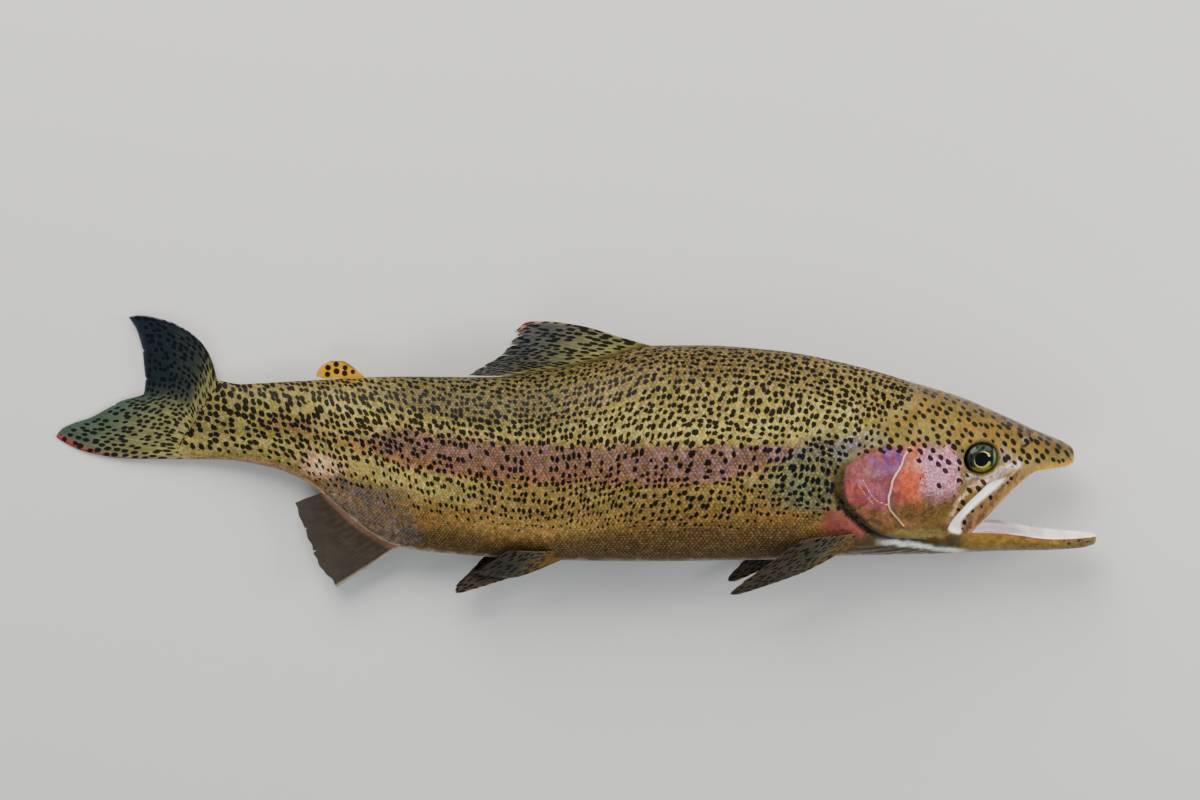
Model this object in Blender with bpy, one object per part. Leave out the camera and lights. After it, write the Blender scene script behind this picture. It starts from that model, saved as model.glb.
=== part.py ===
"""Rainbow trout, life size, lying on its left side with its mouth open.

Metres, +Z up. The floor is z = 0 and the origin is on it, under the middle of the
fish's box. +X points from the tail to the snout, +Y from the belly to the back,
and +Z up through the right flank, which is the side that shows.

Every shape is worked out in the fish's own measures, in millimetres:
  station  distance behind the tip of the snout
  height   distance above the axis that runs through the middle of the trunk
  side     distance from the plane that parts the fish in two, + to the right
lay_down() turns those into places on the floor.
"""

import math

import bmesh
import bpy
import numpy as np

MM = 0.001
GAP = 0.35  # clear space left between neighbouring pieces

# ---------------------------------------------------------------- driving sizes
SNOUT_X = 303.5  # where the tip of the snout lies
AXIS_Y = 4.9  # where the trunk's axis lies
JAW_TIP = -15.0  # station of the lower jaw's tip, ahead of the snout
MOUTH_CORNER = 66.0
GILL_OPENING = 147.0
TRUNK_CUTS = (GILL_OPENING, 250.0, 350.0, 445.0)  # where the trunk is parted
STALK_END = 521.0
STALK_SLANT = 31.0  # how much further back the stalk ends at its lower edge
TRUNK_SIDES = 32  # corners of a trunk section
SOFTNESS = 1.5  # how far above and below the floor the flesh starts to flatten

# Profiles: (station, value) pairs, joined by a smooth curve.
BACK = (
    (0, -1.2), (1.5, 2.0), (6, 5.2), (15, 9.2), (27, 14.2), (37, 19.0), (70, 33.5),
    (95, 41.4), (131, 52.2), (179, 62.0), (228, 65.4), (257, 65.2), (288, 56.8),
    (318, 50.6), (354, 45.2), (409, 44.6), (458, 41.6), (492, 39.2), (507, 38.2), (521, 40.4),
)  # fmt: skip
BELLY = (
    (66, -61.0), (142, -64.0), (200, -66.0), (265, -67.0), (330, -66.4), (373, -64.6),
    (400, -62.6), (412, -60.4), (423, -55.8), (447, -37.8), (459, -26.8), (468, -19.6),
    (484, -12.4), (502, -9.0), (521, -9.2),
)  # fmt: skip
HALF_WIDTH = (
    (0, 1.6), (2, 5.6), (6, 9.0), (13, 12.0), (28, 16.2), (56, 21.8), (90, 28.0),
    (130, 31.8), (170, 32.8), (240, 33.6), (300, 32.0), (370, 26.0), (430, 18.8),
    (480, 12.6), (508, 8.2), (521, 3.6),
)  # fmt: skip
WIDEST_HEIGHT = (
    (0, -3.4), (20, -2.5), (56, -6.0), (120, -8.0), (200, 0.0), (330, -2.0),
    (400, -3.0), (461, 11.0), (508, 17.0), (521, 17.3),
)  # fmt: skip
PLANE_HEIGHT = (
    (-15, 26.0), (60, 28.4), (130, 30.4), (200, 31.2), (300, 30.2), (370, 24.4),
    (430, 17.4), (480, 12.0), (508, 8.8), (560, 4.2), (600, 1.9), (623, 0.7),
)  # fmt: skip
UPPER_JAW_EDGE = (
    (0, -5.2), (3, -7.6), (15, -8.8), (24, -9.4), (36, -16.7), (48, -28.2),
    (56.5, -37.4), (66, -44.6),
)  # fmt: skip
PALATE = ((0, -4.4), (10, -5.2), (30, -7.0), (66, -20.0))
LOWER_JAW_RIM = (
    (-15, -53.0), (-10, -54.0), (-2, -52.6), (11, -52.2), (24, -50.4), (36, -47.4),
    (48, -45.0), (66, -46.6),
)  # fmt: skip
LOWER_JAW_BOTTOM = (
    (-15, -54.4), (-12, -57.0), (-4, -59.0), (12, -60.2), (46, -60.8), (66, -61.0),
)  # fmt: skip
LOWER_JAW_WIDTH = (
    (-15, 0.9), (-13.4, 3.6), (-9, 7.2), (0, 11.0), (12, 14.0), (30, 16.8), (66, 20.6),
)  # fmt: skip
ROUNDNESS_BACK = 2.1  # powers of the section's outline; 2 is an ellipse
ROUNDNESS_BELLY = ((0, 3.2), (66, 3.2), (142, 2.3), (521, 2.1))

# Colours of the still solids.
OLIVE = (0.30, 0.26, 0.08)
ROSE = (0.42, 0.17, 0.14)
MOUTH_WHITE = (0.80, 0.70, 0.66)
FIN_GREY = (0.24, 0.25, 0.14)
FIN_ORANGE = (0.72, 0.38, 0.08)
EYE_DARK = (0.03, 0.04, 0.04)
TOOTH_WHITE = (0.85, 0.82, 0.70)


# ------------------------------------------------------------------- the curves
def through(points, at):
    """The height at `at` of a smooth curve through the points that never overshoots."""
    x, y = np.array(points, float).T
    run = np.diff(x)
    slope = np.diff(y) / run
    bend = np.zeros(len(x))
    bend[0], bend[-1] = slope[0], slope[-1]
    turning = slope[:-1] * slope[1:] > 0
    a, b = 2 * run[1:] + run[:-1], run[1:] + 2 * run[:-1]
    with np.errstate(divide="ignore", invalid="ignore"):
        mean = (a + b) / (a / slope[:-1] + b / slope[1:])
    bend[1:-1] = np.where(turning, mean, 0)
    at = np.clip(np.asarray(at, float), x[0], x[-1])
    i = np.clip(np.searchsorted(x, at) - 1, 0, len(run) - 1)
    t = (at - x[i]) / run[i]
    return (
        (1 + 2 * t) * (1 - t) ** 2 * y[i]
        + t * (1 - t) ** 2 * run[i] * bend[i]
        + t * t * (3 - 2 * t) * y[i + 1]
        + t * t * (t - 1) * run[i] * bend[i + 1]
    )


def path(points, share):
    """Places along a smooth line through 2-D points, share 0 to 1 of its length."""
    points = np.array(points, float)
    steps = np.linalg.norm(np.diff(points, axis=0), axis=1)
    along = np.concatenate([[0], np.cumsum(steps)]) / steps.sum()
    return np.stack(
        [through(np.column_stack([along, points[:, k]]), share) for k in (0, 1)], -1
    )


def half_width(station, height):
    """Distance from the middle plane to the skin, by the section's superellipse."""
    middle = through(WIDEST_HEIGHT, station)
    above = (height - middle) / (through(BACK, station) - middle)
    below = (middle - height) / (middle - through(BELLY, station))
    upper = height > middle
    power = np.where(upper, ROUNDNESS_BACK, through(ROUNDNESS_BELLY, station))
    share = np.clip(np.where(upper, above, below), 0, 1)
    return through(HALF_WIDTH, station) * (1 - share**power) ** (1 / power)


def lay_down(station, height, side, soft=True):
    """Places in metres, the fish on its left side. Soft flesh flattens at the floor."""
    station, height, side = np.broadcast_arrays(station, height, side)
    up = through(PLANE_HEIGHT, station) + side
    if soft:
        pressed = (up + SOFTNESS) ** 2 / (4 * SOFTNESS)
        up = np.where(up < -SOFTNESS, 0, np.where(up < SOFTNESS, pressed, up))
    return np.stack([SNOUT_X - station, AXIS_Y + height, up], -1) * MM


# ----------------------------------------------------------------- mesh helpers
def material(name, colour, roughness=0.4):
    """A Principled material of this colour, made once."""
    found = bpy.data.materials.get(name)
    if found:
        return found
    made = bpy.data.materials.new(name)
    made.use_nodes = True
    shader = made.node_tree.nodes["Principled BSDF"]
    shader.inputs["Base Color"].default_value = (*colour, 1)
    shader.inputs["Roughness"].default_value = roughness
    shader.inputs["Metallic"].default_value = 0.0
    made.diffuse_color = (*colour, 1)
    return made


def solid(name, points, faces, finish):
    """A closed body from its points and faces, its faces turned outwards."""
    mesh = bpy.data.meshes.new(name)
    mesh.from_pydata([tuple(p) for p in points], [], [tuple(f) for f in faces])
    body = bmesh.new()
    body.from_mesh(mesh)
    bmesh.ops.remove_doubles(body, verts=body.verts, dist=1e-6)
    bmesh.ops.recalc_face_normals(body, faces=body.faces)
    body.to_mesh(mesh)
    body.free()
    mesh.shade_smooth()
    mesh.set_sharp_from_angle(angle=math.radians(40))
    mesh.materials.append(finish)
    made = bpy.data.objects.new(name, mesh)
    bpy.context.scene.collection.objects.link(made)
    return made


def loft(name, rings, finish):
    """A skin over rings of equally many points, closed by a face at each end."""
    count, corners = rings.shape[:2]
    faces = [
        (r * corners + i, r * corners + (i + 1) % corners,
         (r + 1) * corners + (i + 1) % corners, (r + 1) * corners + i)
        for r in range(count - 1)
        for i in range(corners)
    ]  # fmt: skip
    faces.append(range(corners))
    faces.append(range((count - 1) * corners, count * corners))
    return solid(name, rings.reshape(-1, 3), faces, finish)


def slab(name, upper, lower, finish):
    """A sheet with thickness: two grids of points, joined round their edge."""
    rows, columns = upper.shape[:2]
    shift = rows * columns
    faces = []
    for r in range(rows - 1):
        for c in range(columns - 1):
            quad = (r * columns + c, r * columns + c + 1,
                    (r + 1) * columns + c + 1, (r + 1) * columns + c)  # fmt: skip
            faces.append(quad)
            faces.append(tuple(shift + i for i in reversed(quad)))
    edge = (
        [(0, c) for c in range(columns)]
        + [(r, columns - 1) for r in range(1, rows)]
        + [(rows - 1, c) for c in range(columns - 2, -1, -1)]
        + [(r, 0) for r in range(rows - 2, 0, -1)]
    )
    edge = [r * columns + c for r, c in edge]
    for a, b in zip(edge, edge[1:] + edge[:1]):
        faces.append((a, b, shift + b, shift + a))
    points = np.concatenate([upper.reshape(-1, 3), lower.reshape(-1, 3)])
    return solid(name, points, faces, finish)


def combine(target, helper, operation):
    """Cuts a hidden helper out of a solid (DIFFERENCE) or joins it on (UNION)."""
    helper.hide_render = True
    helper.display_type = "WIRE"
    made = target.modifiers.new(operation.lower() + "_" + helper.name, "BOOLEAN")
    made.operation = operation
    made.solver = "EXACT"
    made.object = helper


# -------------------------------------------------------------------- the trunk
def section(station, angle, slant=0.0):
    """Places round the body at a station: angle 0 is the right flank, 90 the back."""
    power = np.where(
        np.sin(angle) > 0, ROUNDNESS_BACK, through(ROUNDNESS_BELLY, station)
    )
    middle = through(WIDEST_HEIGHT, station)
    top, bottom = through(BACK, station), through(BELLY, station)
    reach = np.where(np.sin(angle) > 0, top - middle, middle - bottom)
    rise = np.sign(np.sin(angle)) * np.abs(np.sin(angle)) ** (2 / power)
    spread = np.sign(np.cos(angle)) * np.abs(np.cos(angle)) ** (2 / power)
    height = middle + reach * rise
    below_top = (top - height) / (top - bottom)
    side = through(HALF_WIDTH, station) * spread
    return lay_down(station + slant * below_top, height, side)


def trunk_piece(name, start, end, rings, slant=0.0):
    """One length of the trunk. With a slant, its rear end leans back below."""
    angles = np.linspace(0, 2 * math.pi, TRUNK_SIDES, endpoint=False)
    stations = np.linspace(start, end, rings)
    lean = slant * np.linspace(0, 1, rings) ** 2
    made = [section(s, angles, k) for s, k in zip(stations, lean)]
    return loft(name, np.array(made), material("olive_skin", OLIVE))


def make_trunk():
    """Three lengths of trunk and the stalk of the tail, parted by thin cuts."""
    names = ("trunk_front", "trunk_middle", "trunk_rear")
    for name, start, end in zip(names, TRUNK_CUTS, TRUNK_CUTS[1:]):
        trunk_piece(name, start, end - GAP, 7)
    trunk_piece("tail_stalk", TRUNK_CUTS[-1], STALK_END, 8, STALK_SLANT)


# --------------------------------------------------------------------- the teeth
TOOTH_LENGTH = 2.0
TOOTH_WIDTH = 1.3
TOOTH_ROOT = 0.8  # how deep a tooth is set in its jaw


def grow_teeth(jaw, row):
    """Joins a row of small pyramids to a jaw. Each is (station, height, side, down)."""
    points, faces = [], []
    for station, height, side, down in row:
        first = len(points)
        half = TOOTH_WIDTH / 2
        root = height - down * TOOTH_ROOT
        for along, out in ((-half, -half), (half, -half), (half, half), (-half, half)):
            points.append(lay_down(station + along, root, side + out, soft=False))
        tip = height + down * TOOTH_LENGTH
        points.append(lay_down(station + half, tip, side, soft=False))
        ring = [first + i for i in range(4)]
        faces.append(ring)
        faces += [(ring[i], ring[(i + 1) % 4], first + 4) for i in range(4)]
    teeth = solid("teeth_of_" + jaw.name, points, faces, material("tooth", TOOTH_WHITE))
    combine(jaw, teeth, "UNION")


def premaxilla_teeth():
    """Teeth along the front of the upper jaw, both sides of the tip."""
    row = []
    for station in np.linspace(5.0, 21.0, 6):
        edge = float(through(UPPER_JAW_EDGE, station))
        wall = 0.5 * min(WALL, 0.45 * float(half_width(station, edge)))
        side = float(half_width(station, edge)) - wall
        row += [(station, edge, side, -1), (station, edge, -side, -1)]
    return row


def lower_teeth():
    """Teeth along the rim of the lower jaw, both sides of its tip."""
    row = []
    for station in np.linspace(-9.0, 28.0, 10):
        rim = float(through(LOWER_JAW_RIM, station))
        wide = float(through(LOWER_JAW_WIDTH, station))
        side = wide - 0.5 * min(JAW_WALL, 0.4 * wide)
        row += [(station, rim, side, 1), (station, rim, -side, 1)]
    return row


# --------------------------------------------------------------------- the head
FLANK_POINTS = 9  # outer points on each side of a head section
WALL = 3.4  # thickness of the upper jaw's side walls
JAW_WALL = 3.0  # and of the lower jaw's


def head_ring(station):
    """A head section: round behind the mouth, an upturned trough ahead of its corner."""
    open_mouth = station < MOUTH_CORNER + 1
    middle = float(through(WIDEST_HEIGHT, station))
    top = float(through(BACK, station))
    if open_mouth:
        edge = float(through(UPPER_JAW_EDGE, station))
    else:
        edge = middle - 0.86 * (middle - float(through(BELLY, station)))
    # Heights from the back down to the edge, closer together near the back.
    share = np.sin(np.linspace(0, math.pi / 2, FLANK_POINTS + 1))[::-1]
    above = middle + (top - middle) * share[:-3]
    heights = np.concatenate([above, np.linspace(above[-1], edge, 5)[1:]])
    sides = half_width(station, heights)
    sides[0] = 0.0
    if open_mouth:
        roof = float(through(PALATE, station))
        wall = min(WALL, 0.45 * sides[-1])
        inner = sides[-1] - wall
        vault = [(edge, inner), (0.5 * (edge + roof), 0.94 * inner),
                 (roof - 0.12 * (roof - edge), 0.72 * inner), (roof, 0.0)]  # fmt: skip
    else:
        low = float(through(BELLY, station))
        steps = [edge + (low - edge) * k for k in (0.45, 0.75, 0.93)]
        vault = [(h, float(half_width(station, h))) for h in steps] + [(low, 0.0)]
    right = list(zip(heights, sides)) + vault
    left = [(h, -w) for h, w in right[-2:0:-1]]
    height, side = np.array(right + left).T
    return lay_down(station, height, side)


def make_head(cutters):
    """The skull, cheeks and upper jaw in one, with pockets for what sits in it."""
    stations = (0.0, 0.7, 2.0, 4.5, 8.5, 14.0, 20.0, 26.0, 32.0, 38.0, 44.0, 50.0,
                55.0, 60.0, 64.0, MOUTH_CORNER, 71.0, 80.0, 90.0, 100.0, 110.0,
                120.0, 131.0, GILL_OPENING - GAP)  # fmt: skip
    rings = np.array([head_ring(s) for s in stations])
    head = loft("head", rings, material("olive_skin", OLIVE))
    for cutter in cutters:
        combine(head, cutter, "DIFFERENCE")
    grow_teeth(head, premaxilla_teeth())


def lower_jaw_ring(station):
    """A section of the lower jaw: a boat's hull outside, a trough inside."""
    rim = float(through(LOWER_JAW_RIM, station))
    low = float(through(LOWER_JAW_BOTTOM, station))
    wide = float(through(LOWER_JAW_WIDTH, station))
    turn = np.linspace(0, math.pi / 2, 7)
    outer = [(rim - (rim - low) * math.sin(a) ** 1.1, wide * math.cos(a) ** 0.8)
             for a in turn[:-1]] + [(low, 0.0)]  # fmt: skip
    wall = min(JAW_WALL, 0.4 * wide)
    depth = 0.62 * (rim - low)
    inner = [(rim - depth, 0.0), (rim - 0.92 * depth, 0.6 * (wide - wall)),
             (rim - 0.45 * depth, 0.95 * (wide - wall)), (rim, wide - wall)]  # fmt: skip
    left_outer = [(h, -w) for h, w in reversed(outer[:-1])]
    left_inner = [(h, -w) for h, w in reversed(inner[1:])]
    height, side = np.array(outer + left_outer + left_inner + inner).T
    return lay_down(station, height, side)


def make_lower_jaw():
    """The lower jaw, hanging open below the upper one."""
    stations = (JAW_TIP, -12.6, -10.5, -7.0, -2.0, 5.0, 15.0, 27.0, 40.0, 53.0,
                MOUTH_CORNER - GAP)  # fmt: skip
    rings = np.array([lower_jaw_ring(s) for s in stations])
    jaw = loft("lower_jaw", rings, material("olive_skin", OLIVE))
    grow_teeth(jaw, lower_teeth())


TONGUE = {"front": 6.0, "rear": 58.0, "half_width": 7.5, "thick": 4.0}


def make_tongue():
    """A flat tongue that lies in the lower jaw's trough."""
    share = np.linspace(0, 1, 9)
    stations = TONGUE["front"] + (TONGUE["rear"] - TONGUE["front"]) * share
    rings = []
    for station, t in zip(stations, share):
        rim = float(through(LOWER_JAW_RIM, station))
        low = float(through(LOWER_JAW_BOTTOM, station))
        floor = rim - 0.56 * (rim - low) + GAP
        size = math.sin(math.pi * (0.12 + 0.62 * t)) ** 0.6
        angle = np.linspace(0, 2 * math.pi, 12, endpoint=False)
        half_thick = 0.5 * TONGUE["thick"] * size
        height = floor + half_thick + half_thick * np.sin(angle)
        rings.append(lay_down(station, height, TONGUE["half_width"] * size * np.cos(angle)))
    loft("tongue", np.array(rings), material("mouth_white", MOUTH_WHITE))


# ------------------------------------------------------- plates on the cheeks
MAXILLA_LINE = ((27, -6.6), (39, -13.8), (46, -20.1), (57, -30.5), (65.4, -39.4), (68.4, -42.8))
MAXILLA_HALF = ((0, 1.4), (0.25, 2.9), (0.45, 4.2), (0.7, 5.0), (0.88, 4.8), (0.96, 3.4), (1, 1.4))
GILL_CENTRE = (108.0, -20.0)
GILL_REACH = {"rear": 36.2, "front": 17.0, "top": 25.0, "bottom": 28.5}
GILL_POWER = {"top_rear": 2.8, "bottom_rear": 1.65, "front": 2.2}


def plate_faces(station, height, hand, outer, inner):
    """Outer and inner face of a plate that follows the skin, so far above and below it."""
    skin = half_width(station, height)
    hidden = np.maximum(skin + inner, 0.5)
    return (
        lay_down(station, height, hand * (skin + outer)),
        lay_down(station, height, hand * hidden),
    )


def make_maxilla(name, hand, outer, inner, margin, finish):
    """The long bone of the upper jaw, a paddle that swings forward as the mouth opens."""
    share = np.linspace(0, 1, 13)
    line = path(MAXILLA_LINE, share)
    line[0] += (-margin, margin)
    line[-1] += (margin, -margin)
    step = np.gradient(line, axis=0)
    step /= np.linalg.norm(step, axis=1)[:, None]
    across = np.stack([-step[:, 1], step[:, 0]], -1)
    half = through(MAXILLA_HALF, share) + margin
    spread = np.linspace(-1, 1, 5)
    place = line[:, None] + across[:, None] * (half[:, None] * spread)[..., None]
    station, height = place[..., 0], place[..., 1]
    upper, lower = plate_faces(station, height, hand, outer, inner)
    return slab(name, upper, lower, finish)


def gill_outline(angle, margin):
    """How far the gill cover reaches from its centre: a superellipse, fuller above."""
    rear, up = np.cos(angle) > 0, np.sin(angle) > 0
    across = np.where(rear, GILL_REACH["rear"], GILL_REACH["front"]) + margin
    tall = np.where(up, GILL_REACH["top"], GILL_REACH["bottom"]) + margin
    power = np.where(
        rear,
        np.where(up, GILL_POWER["top_rear"], GILL_POWER["bottom_rear"]),
        GILL_POWER["front"],
    )
    return (
        np.abs(np.cos(angle) / across) ** power + np.abs(np.sin(angle) / tall) ** power
    ) ** (-1 / power)


def make_gill_cover(name, hand, outer, inner, margin, finish):
    """The rounded plate over the gills."""
    angles = np.linspace(0, 2 * math.pi, 24, endpoint=False)
    reach = gill_outline(angles, margin)
    shares = (0.12, 0.45, 0.75, 1.0)
    faces_of = []
    for share in shares:
        station = GILL_CENTRE[0] + share * reach * np.cos(angles)
        height = GILL_CENTRE[1] + share * reach * np.sin(angles)
        faces_of.append(plate_faces(station, height, hand, outer, inner))
    upper = [f[0] for f in faces_of]
    lower = [f[1] for f in reversed(faces_of)]
    return loft(name, np.array(upper + lower), finish)


EYE_CENTRE = (59.3, 0.2)
EYE_HALF = (9.6, 8.8, 6.6)  # along the head, up the head and outwards
EYE_PROUD = 2.6  # how far the eye stands out of the skin


def make_eye(name, hand, margin, finish):
    """An eyeball, flatter outwards than it is wide."""
    station, height = EYE_CENTRE
    skin = float(half_width(station, height))
    depth = skin + EYE_PROUD - EYE_HALF[2]
    along = np.linspace(0, math.pi, 10)
    rings = []
    for a in along[1:-1]:
        angle = np.linspace(0, 2 * math.pi, 16, endpoint=False)
        wide = (EYE_HALF[0] + margin) * math.sin(a) * np.cos(angle)
        tall = (EYE_HALF[1] + margin) * math.sin(a) * np.sin(angle)
        out = depth + (EYE_HALF[2] + margin) * math.cos(a)
        rings.append(lay_down(station + wide, height + tall, hand * out, soft=False))
    return loft(name, np.array(rings), finish)


def make_plates_and_eyes():
    """Both sides' maxilla, gill cover and eye. Returns the cutters for their pockets."""
    skin, rose = material("olive_skin", OLIVE), material("rose_cheek", ROSE)
    dark, bare = material("eye_dark", EYE_DARK, 0.05), material("cutter", (1, 1, 1))
    cutters = []
    for hand, side in ((1, "right"), (-1, "left")):
        make_maxilla("maxilla_" + side, hand, 1.0, -1.3, 0, skin)
        cutters.append(make_maxilla("bed_maxilla_" + side, hand, 4, -1.3 - GAP, GAP, bare))
        make_gill_cover("gill_cover_" + side, hand, 1.2, -1.8, 0, rose)
        cutters.append(
            make_gill_cover("bed_gill_" + side, hand, 5, -1.8 - GAP, GAP, bare)
        )
        make_eye("eye_" + side, hand, 0, dark)
        cutters.append(make_eye("bed_eye_" + side, hand, GAP, bare))
    return cutters


# --------------------------------------------------------------------- the fins
def between(base, tips, first, last, rows, columns):
    """A grid between four curves (Coons patch): rows run from base to tips along the
    rays, columns from the first ray to the last."""
    u, v = np.linspace(0, 1, rows), np.linspace(0, 1, columns)
    a, b = path(base, v)[None], path(tips, v)[None]
    c, d = path(first, u)[:, None], path(last, u)[:, None]
    u, v = u[:, None, None], v[None, :, None]
    corners = (
        (1 - u) * (1 - v) * a[:, :1] + (1 - u) * v * a[:, -1:]
        + u * (1 - v) * b[:, :1] + u * v * b[:, -1:]
    )  # fmt: skip
    return (1 - u) * a + u * b + (1 - v) * c + v * d - corners


def thin_sheet(name, grid, side, half_thick, finish, soft=False):
    """A fin: the grid of stations and heights, made solid about the given side."""
    station, height = grid[..., 0], grid[..., 1]
    upper = lay_down(station, height, side + half_thick, soft)
    lower = lay_down(station, height, side - half_thick, soft)
    return slab(name, upper, lower, finish)


def taper(rows, root, tip):
    """Half thickness from the root of the rays to their tips."""
    return (tip + (root - tip) * (1 - np.linspace(0, 1, rows)) ** 1.4)[:, None]


CAUDAL_BASE = ((521.5, 41.0), (538, 19.0), (552.5, -9.2))
CAUDAL_UPPER_EDGE = (
    (521.5, 41.0), (525.5, 56.0), (534.4, 67.5), (552.6, 77.1), (567.9, 80.0), (576, 78.7),
)  # fmt: skip
CAUDAL_LOWER_EDGE = (
    (552.5, -9.2), (576.7, -9.5), (601.4, -6.0), (619.8, 2.0), (622.8, 4.5),
)  # fmt: skip
CAUDAL_UPPER_TIPS = ((576, 78.7), (569.6, 64.6), (567, 49.2), (567.6, 31.4))
CAUDAL_LOWER_TIPS = ((567.6, 31.4), (581.8, 26.7), (600.7, 16.5), (618.2, 10.1), (622.8, 4.5))
def make_caudal_fin():
    """The tail fin in its two lobes, parted along the middle ray."""
    finish = material("fin_grey", FIN_GREY)
    rows, columns = 9, 10
    base = path(CAUDAL_BASE, np.linspace(0, 1, 21))
    middle = base[10]
    fork = np.array(CAUDAL_UPPER_TIPS[-1])
    half = GAP / 2
    ray = (tuple(middle + (0.4, half)), tuple(fork + (0, half)))
    upper = between(base[:11] + (0.4, half), CAUDAL_UPPER_TIPS, CAUDAL_UPPER_EDGE,
                    ray, rows, columns)  # fmt: skip
    ray = (tuple(middle + (0.4, -half)), tuple(fork + (0, -half)))
    tips = (tuple(fork + (0, -half)), *CAUDAL_LOWER_TIPS[1:])
    lower = between(base[10:] + (0.4, -half), tips, ray, CAUDAL_LOWER_EDGE, rows, columns)
    for name, grid in (("caudal_fin_upper", upper), ("caudal_fin_lower", lower)):
        thin_sheet(name, grid, 0.0, taper(rows, 2.8, 0.45), finish)


DORSAL_BASE = ((257.6, 65.5), (288, 57.2), (318, 51.0), (350, 46.2))
DORSAL_TIPS = ((338.3, 75.9), (341.9, 68.0), (349.8, 57.5), (360, 51.2), (368.1, 46.4))
DORSAL_FRONT = (
    (257.6, 65.5), (275.7, 70.6), (299.7, 77.4), (320.8, 79.8), (330, 79.6), (338.3, 75.9),
)  # fmt: skip
DORSAL_REAR = ((350, 46.2), (359, 46.0), (368.1, 46.4))
ANAL_BASE = ((412, -61.8), (436, -48.4), (459, -29.0))
ANAL_TIPS = ((450, -88.0), (461, -74.0), (469, -54.0), (475, -35.0))
ANAL_FRONT = ((412, -61.8), (430, -75.0), (450, -88.0))
ANAL_REAR = ((459, -29.0), (467, -31.6), (475, -35.0))
ADIPOSE_BASE = ((431, 44.4), (440, 43.8), (450, 42.8))
ADIPOSE_TIPS = ((451, 53.6), (457.5, 50.0), (460.2, 44.4), (456.4, 42.6))
ADIPOSE_FRONT = ((431, 44.4), (438, 50.4), (444, 53.6), (451, 53.6))
ADIPOSE_REAR = ((450, 42.8), (453, 42.4), (456.4, 42.6))
def clear_of_back(curve, lift):
    """Lifts a fin's lowest points just off the skin of the back."""
    station, height = np.array(curve, float).T
    floor = through(BACK, station) + lift
    return np.column_stack([station, np.maximum(height, floor)])


def clear_of_belly(curve, drop):
    """Lowers a fin's highest points just off the skin of the belly."""
    station, height = np.array(curve, float).T
    roof = through(BELLY, station) - drop
    return np.column_stack([station, np.minimum(height, roof)])


def make_middle_fins():
    """The fins in the middle plane: dorsal, adipose and anal."""
    grey, orange = material("fin_grey", FIN_GREY), material("fin_orange", FIN_ORANGE)
    rows, columns = 8, 12
    dorsal = between(clear_of_back(DORSAL_BASE, 0.5), clear_of_back(DORSAL_TIPS, 0.6),
                     clear_of_back(DORSAL_FRONT, 0.5), clear_of_back(DORSAL_REAR, 0.6),
                     rows, columns)  # fmt: skip
    dorsal = lift_rows(dorsal, BACK, 0.45, 1)
    thin_sheet("dorsal_fin", dorsal, 0.0, taper(rows, 1.8, 0.4), grey)
    anal = between(ANAL_BASE, ANAL_TIPS, ANAL_FRONT, ANAL_REAR, rows, columns)
    anal = lift_rows(anal, BELLY, 1.0, -1)
    thin_sheet("anal_fin", anal, 0.0, taper(rows, 1.6, 0.4), grey)
    adipose = between(ADIPOSE_BASE, ADIPOSE_TIPS, ADIPOSE_FRONT, ADIPOSE_REAR, 6, 6)
    adipose = lift_rows(adipose, BACK, 0.45, 1)
    thin_sheet("adipose_fin", adipose, 0.0, taper(6, 1.5, 0.7), orange)


def lift_rows(grid, outline, clear, way):
    """Moves grid points that would lie inside the body out past its outline."""
    limit = through(outline, grid[..., 0]) + way * clear
    grid[..., 1] = way * np.maximum(way * grid[..., 1], way * limit)
    return grid


PECTORAL = {
    "root": (136.5, -50.5), "lean": -17.0, "length": 76.0, "root_span": 13.0,
    "tip_span": 30.0, "belly_room": 26.0, "lift": 1.6,
}  # fmt: skip
PELVIC = {
    "root": (318.0, -63.0), "lean": -13.0, "length": 60.0, "root_span": 10.0,
    "tip_span": 27.0, "belly_room": 12.0, "lift": 1.4,
}  # fmt: skip


def paired_grid(fin, rows, columns):
    """Stations and heights of a paired fin: rays fan out from a short root, the first
    the longest, their tips on a curve that turns back towards the last ray."""
    u, v = np.linspace(0, 1, rows)[:, None], np.linspace(0, 1, columns)[None]
    lean = math.radians(fin["lean"])
    reach = fin["length"] * (1 - 0.42 * v**1.6) * u
    span = fin["root_span"] + (fin["tip_span"] - fin["root_span"]) * u
    across = (0.5 - v) * -span - 3.0 * np.sin(math.pi * v) * u
    station = fin["root"][0] + reach * math.cos(lean) + across * math.sin(lean)
    height = fin["root"][1] + reach * math.sin(lean) - across * math.cos(lean) * -1
    return np.stack([station, height], -1)


def draped_side(fin, station, height):
    """How far out a paired fin lies: on the section of a body with a deeper belly."""
    middle = through(WIDEST_HEIGHT, station)
    low = through(BELLY, station) - fin["belly_room"]
    share = np.clip((middle - height) / (middle - low), 0, 0.995)
    return through(HALF_WIDTH, station) * (1 - share**2.2) ** (1 / 2.2) + fin["lift"]


def make_paired_fins():
    """Pectoral and pelvic fins. The left ones lie on the floor, the right ones drape."""
    grey = material("fin_grey", FIN_GREY)
    rows, columns = 8, 8
    for name, fin, root, tip in (("pectoral_fin_", PECTORAL, 1.3, 0.4),
                                 ("pelvic_fin_", PELVIC, 1.2, 0.4)):  # fmt: skip
        grid = paired_grid(fin, rows, columns)
        station, height = grid[..., 0], grid[..., 1]
        side = draped_side(fin, station, height)
        thick = np.broadcast_to(taper(rows, root, tip), side.shape)
        thin_sheet(name + "right", grid, side, thick, grey)
        lowest = -through(PLANE_HEIGHT, station) + thick
        thin_sheet(name + "left", grid, np.maximum(-side, lowest), thick, grey)


def main():
    for old in list(bpy.data.objects):
        bpy.data.objects.remove(old)
    make_trunk()
    make_head(make_plates_and_eyes())
    make_lower_jaw()
    make_tongue()
    make_caudal_fin()
    make_middle_fins()
    make_paired_fins()


main()
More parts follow.
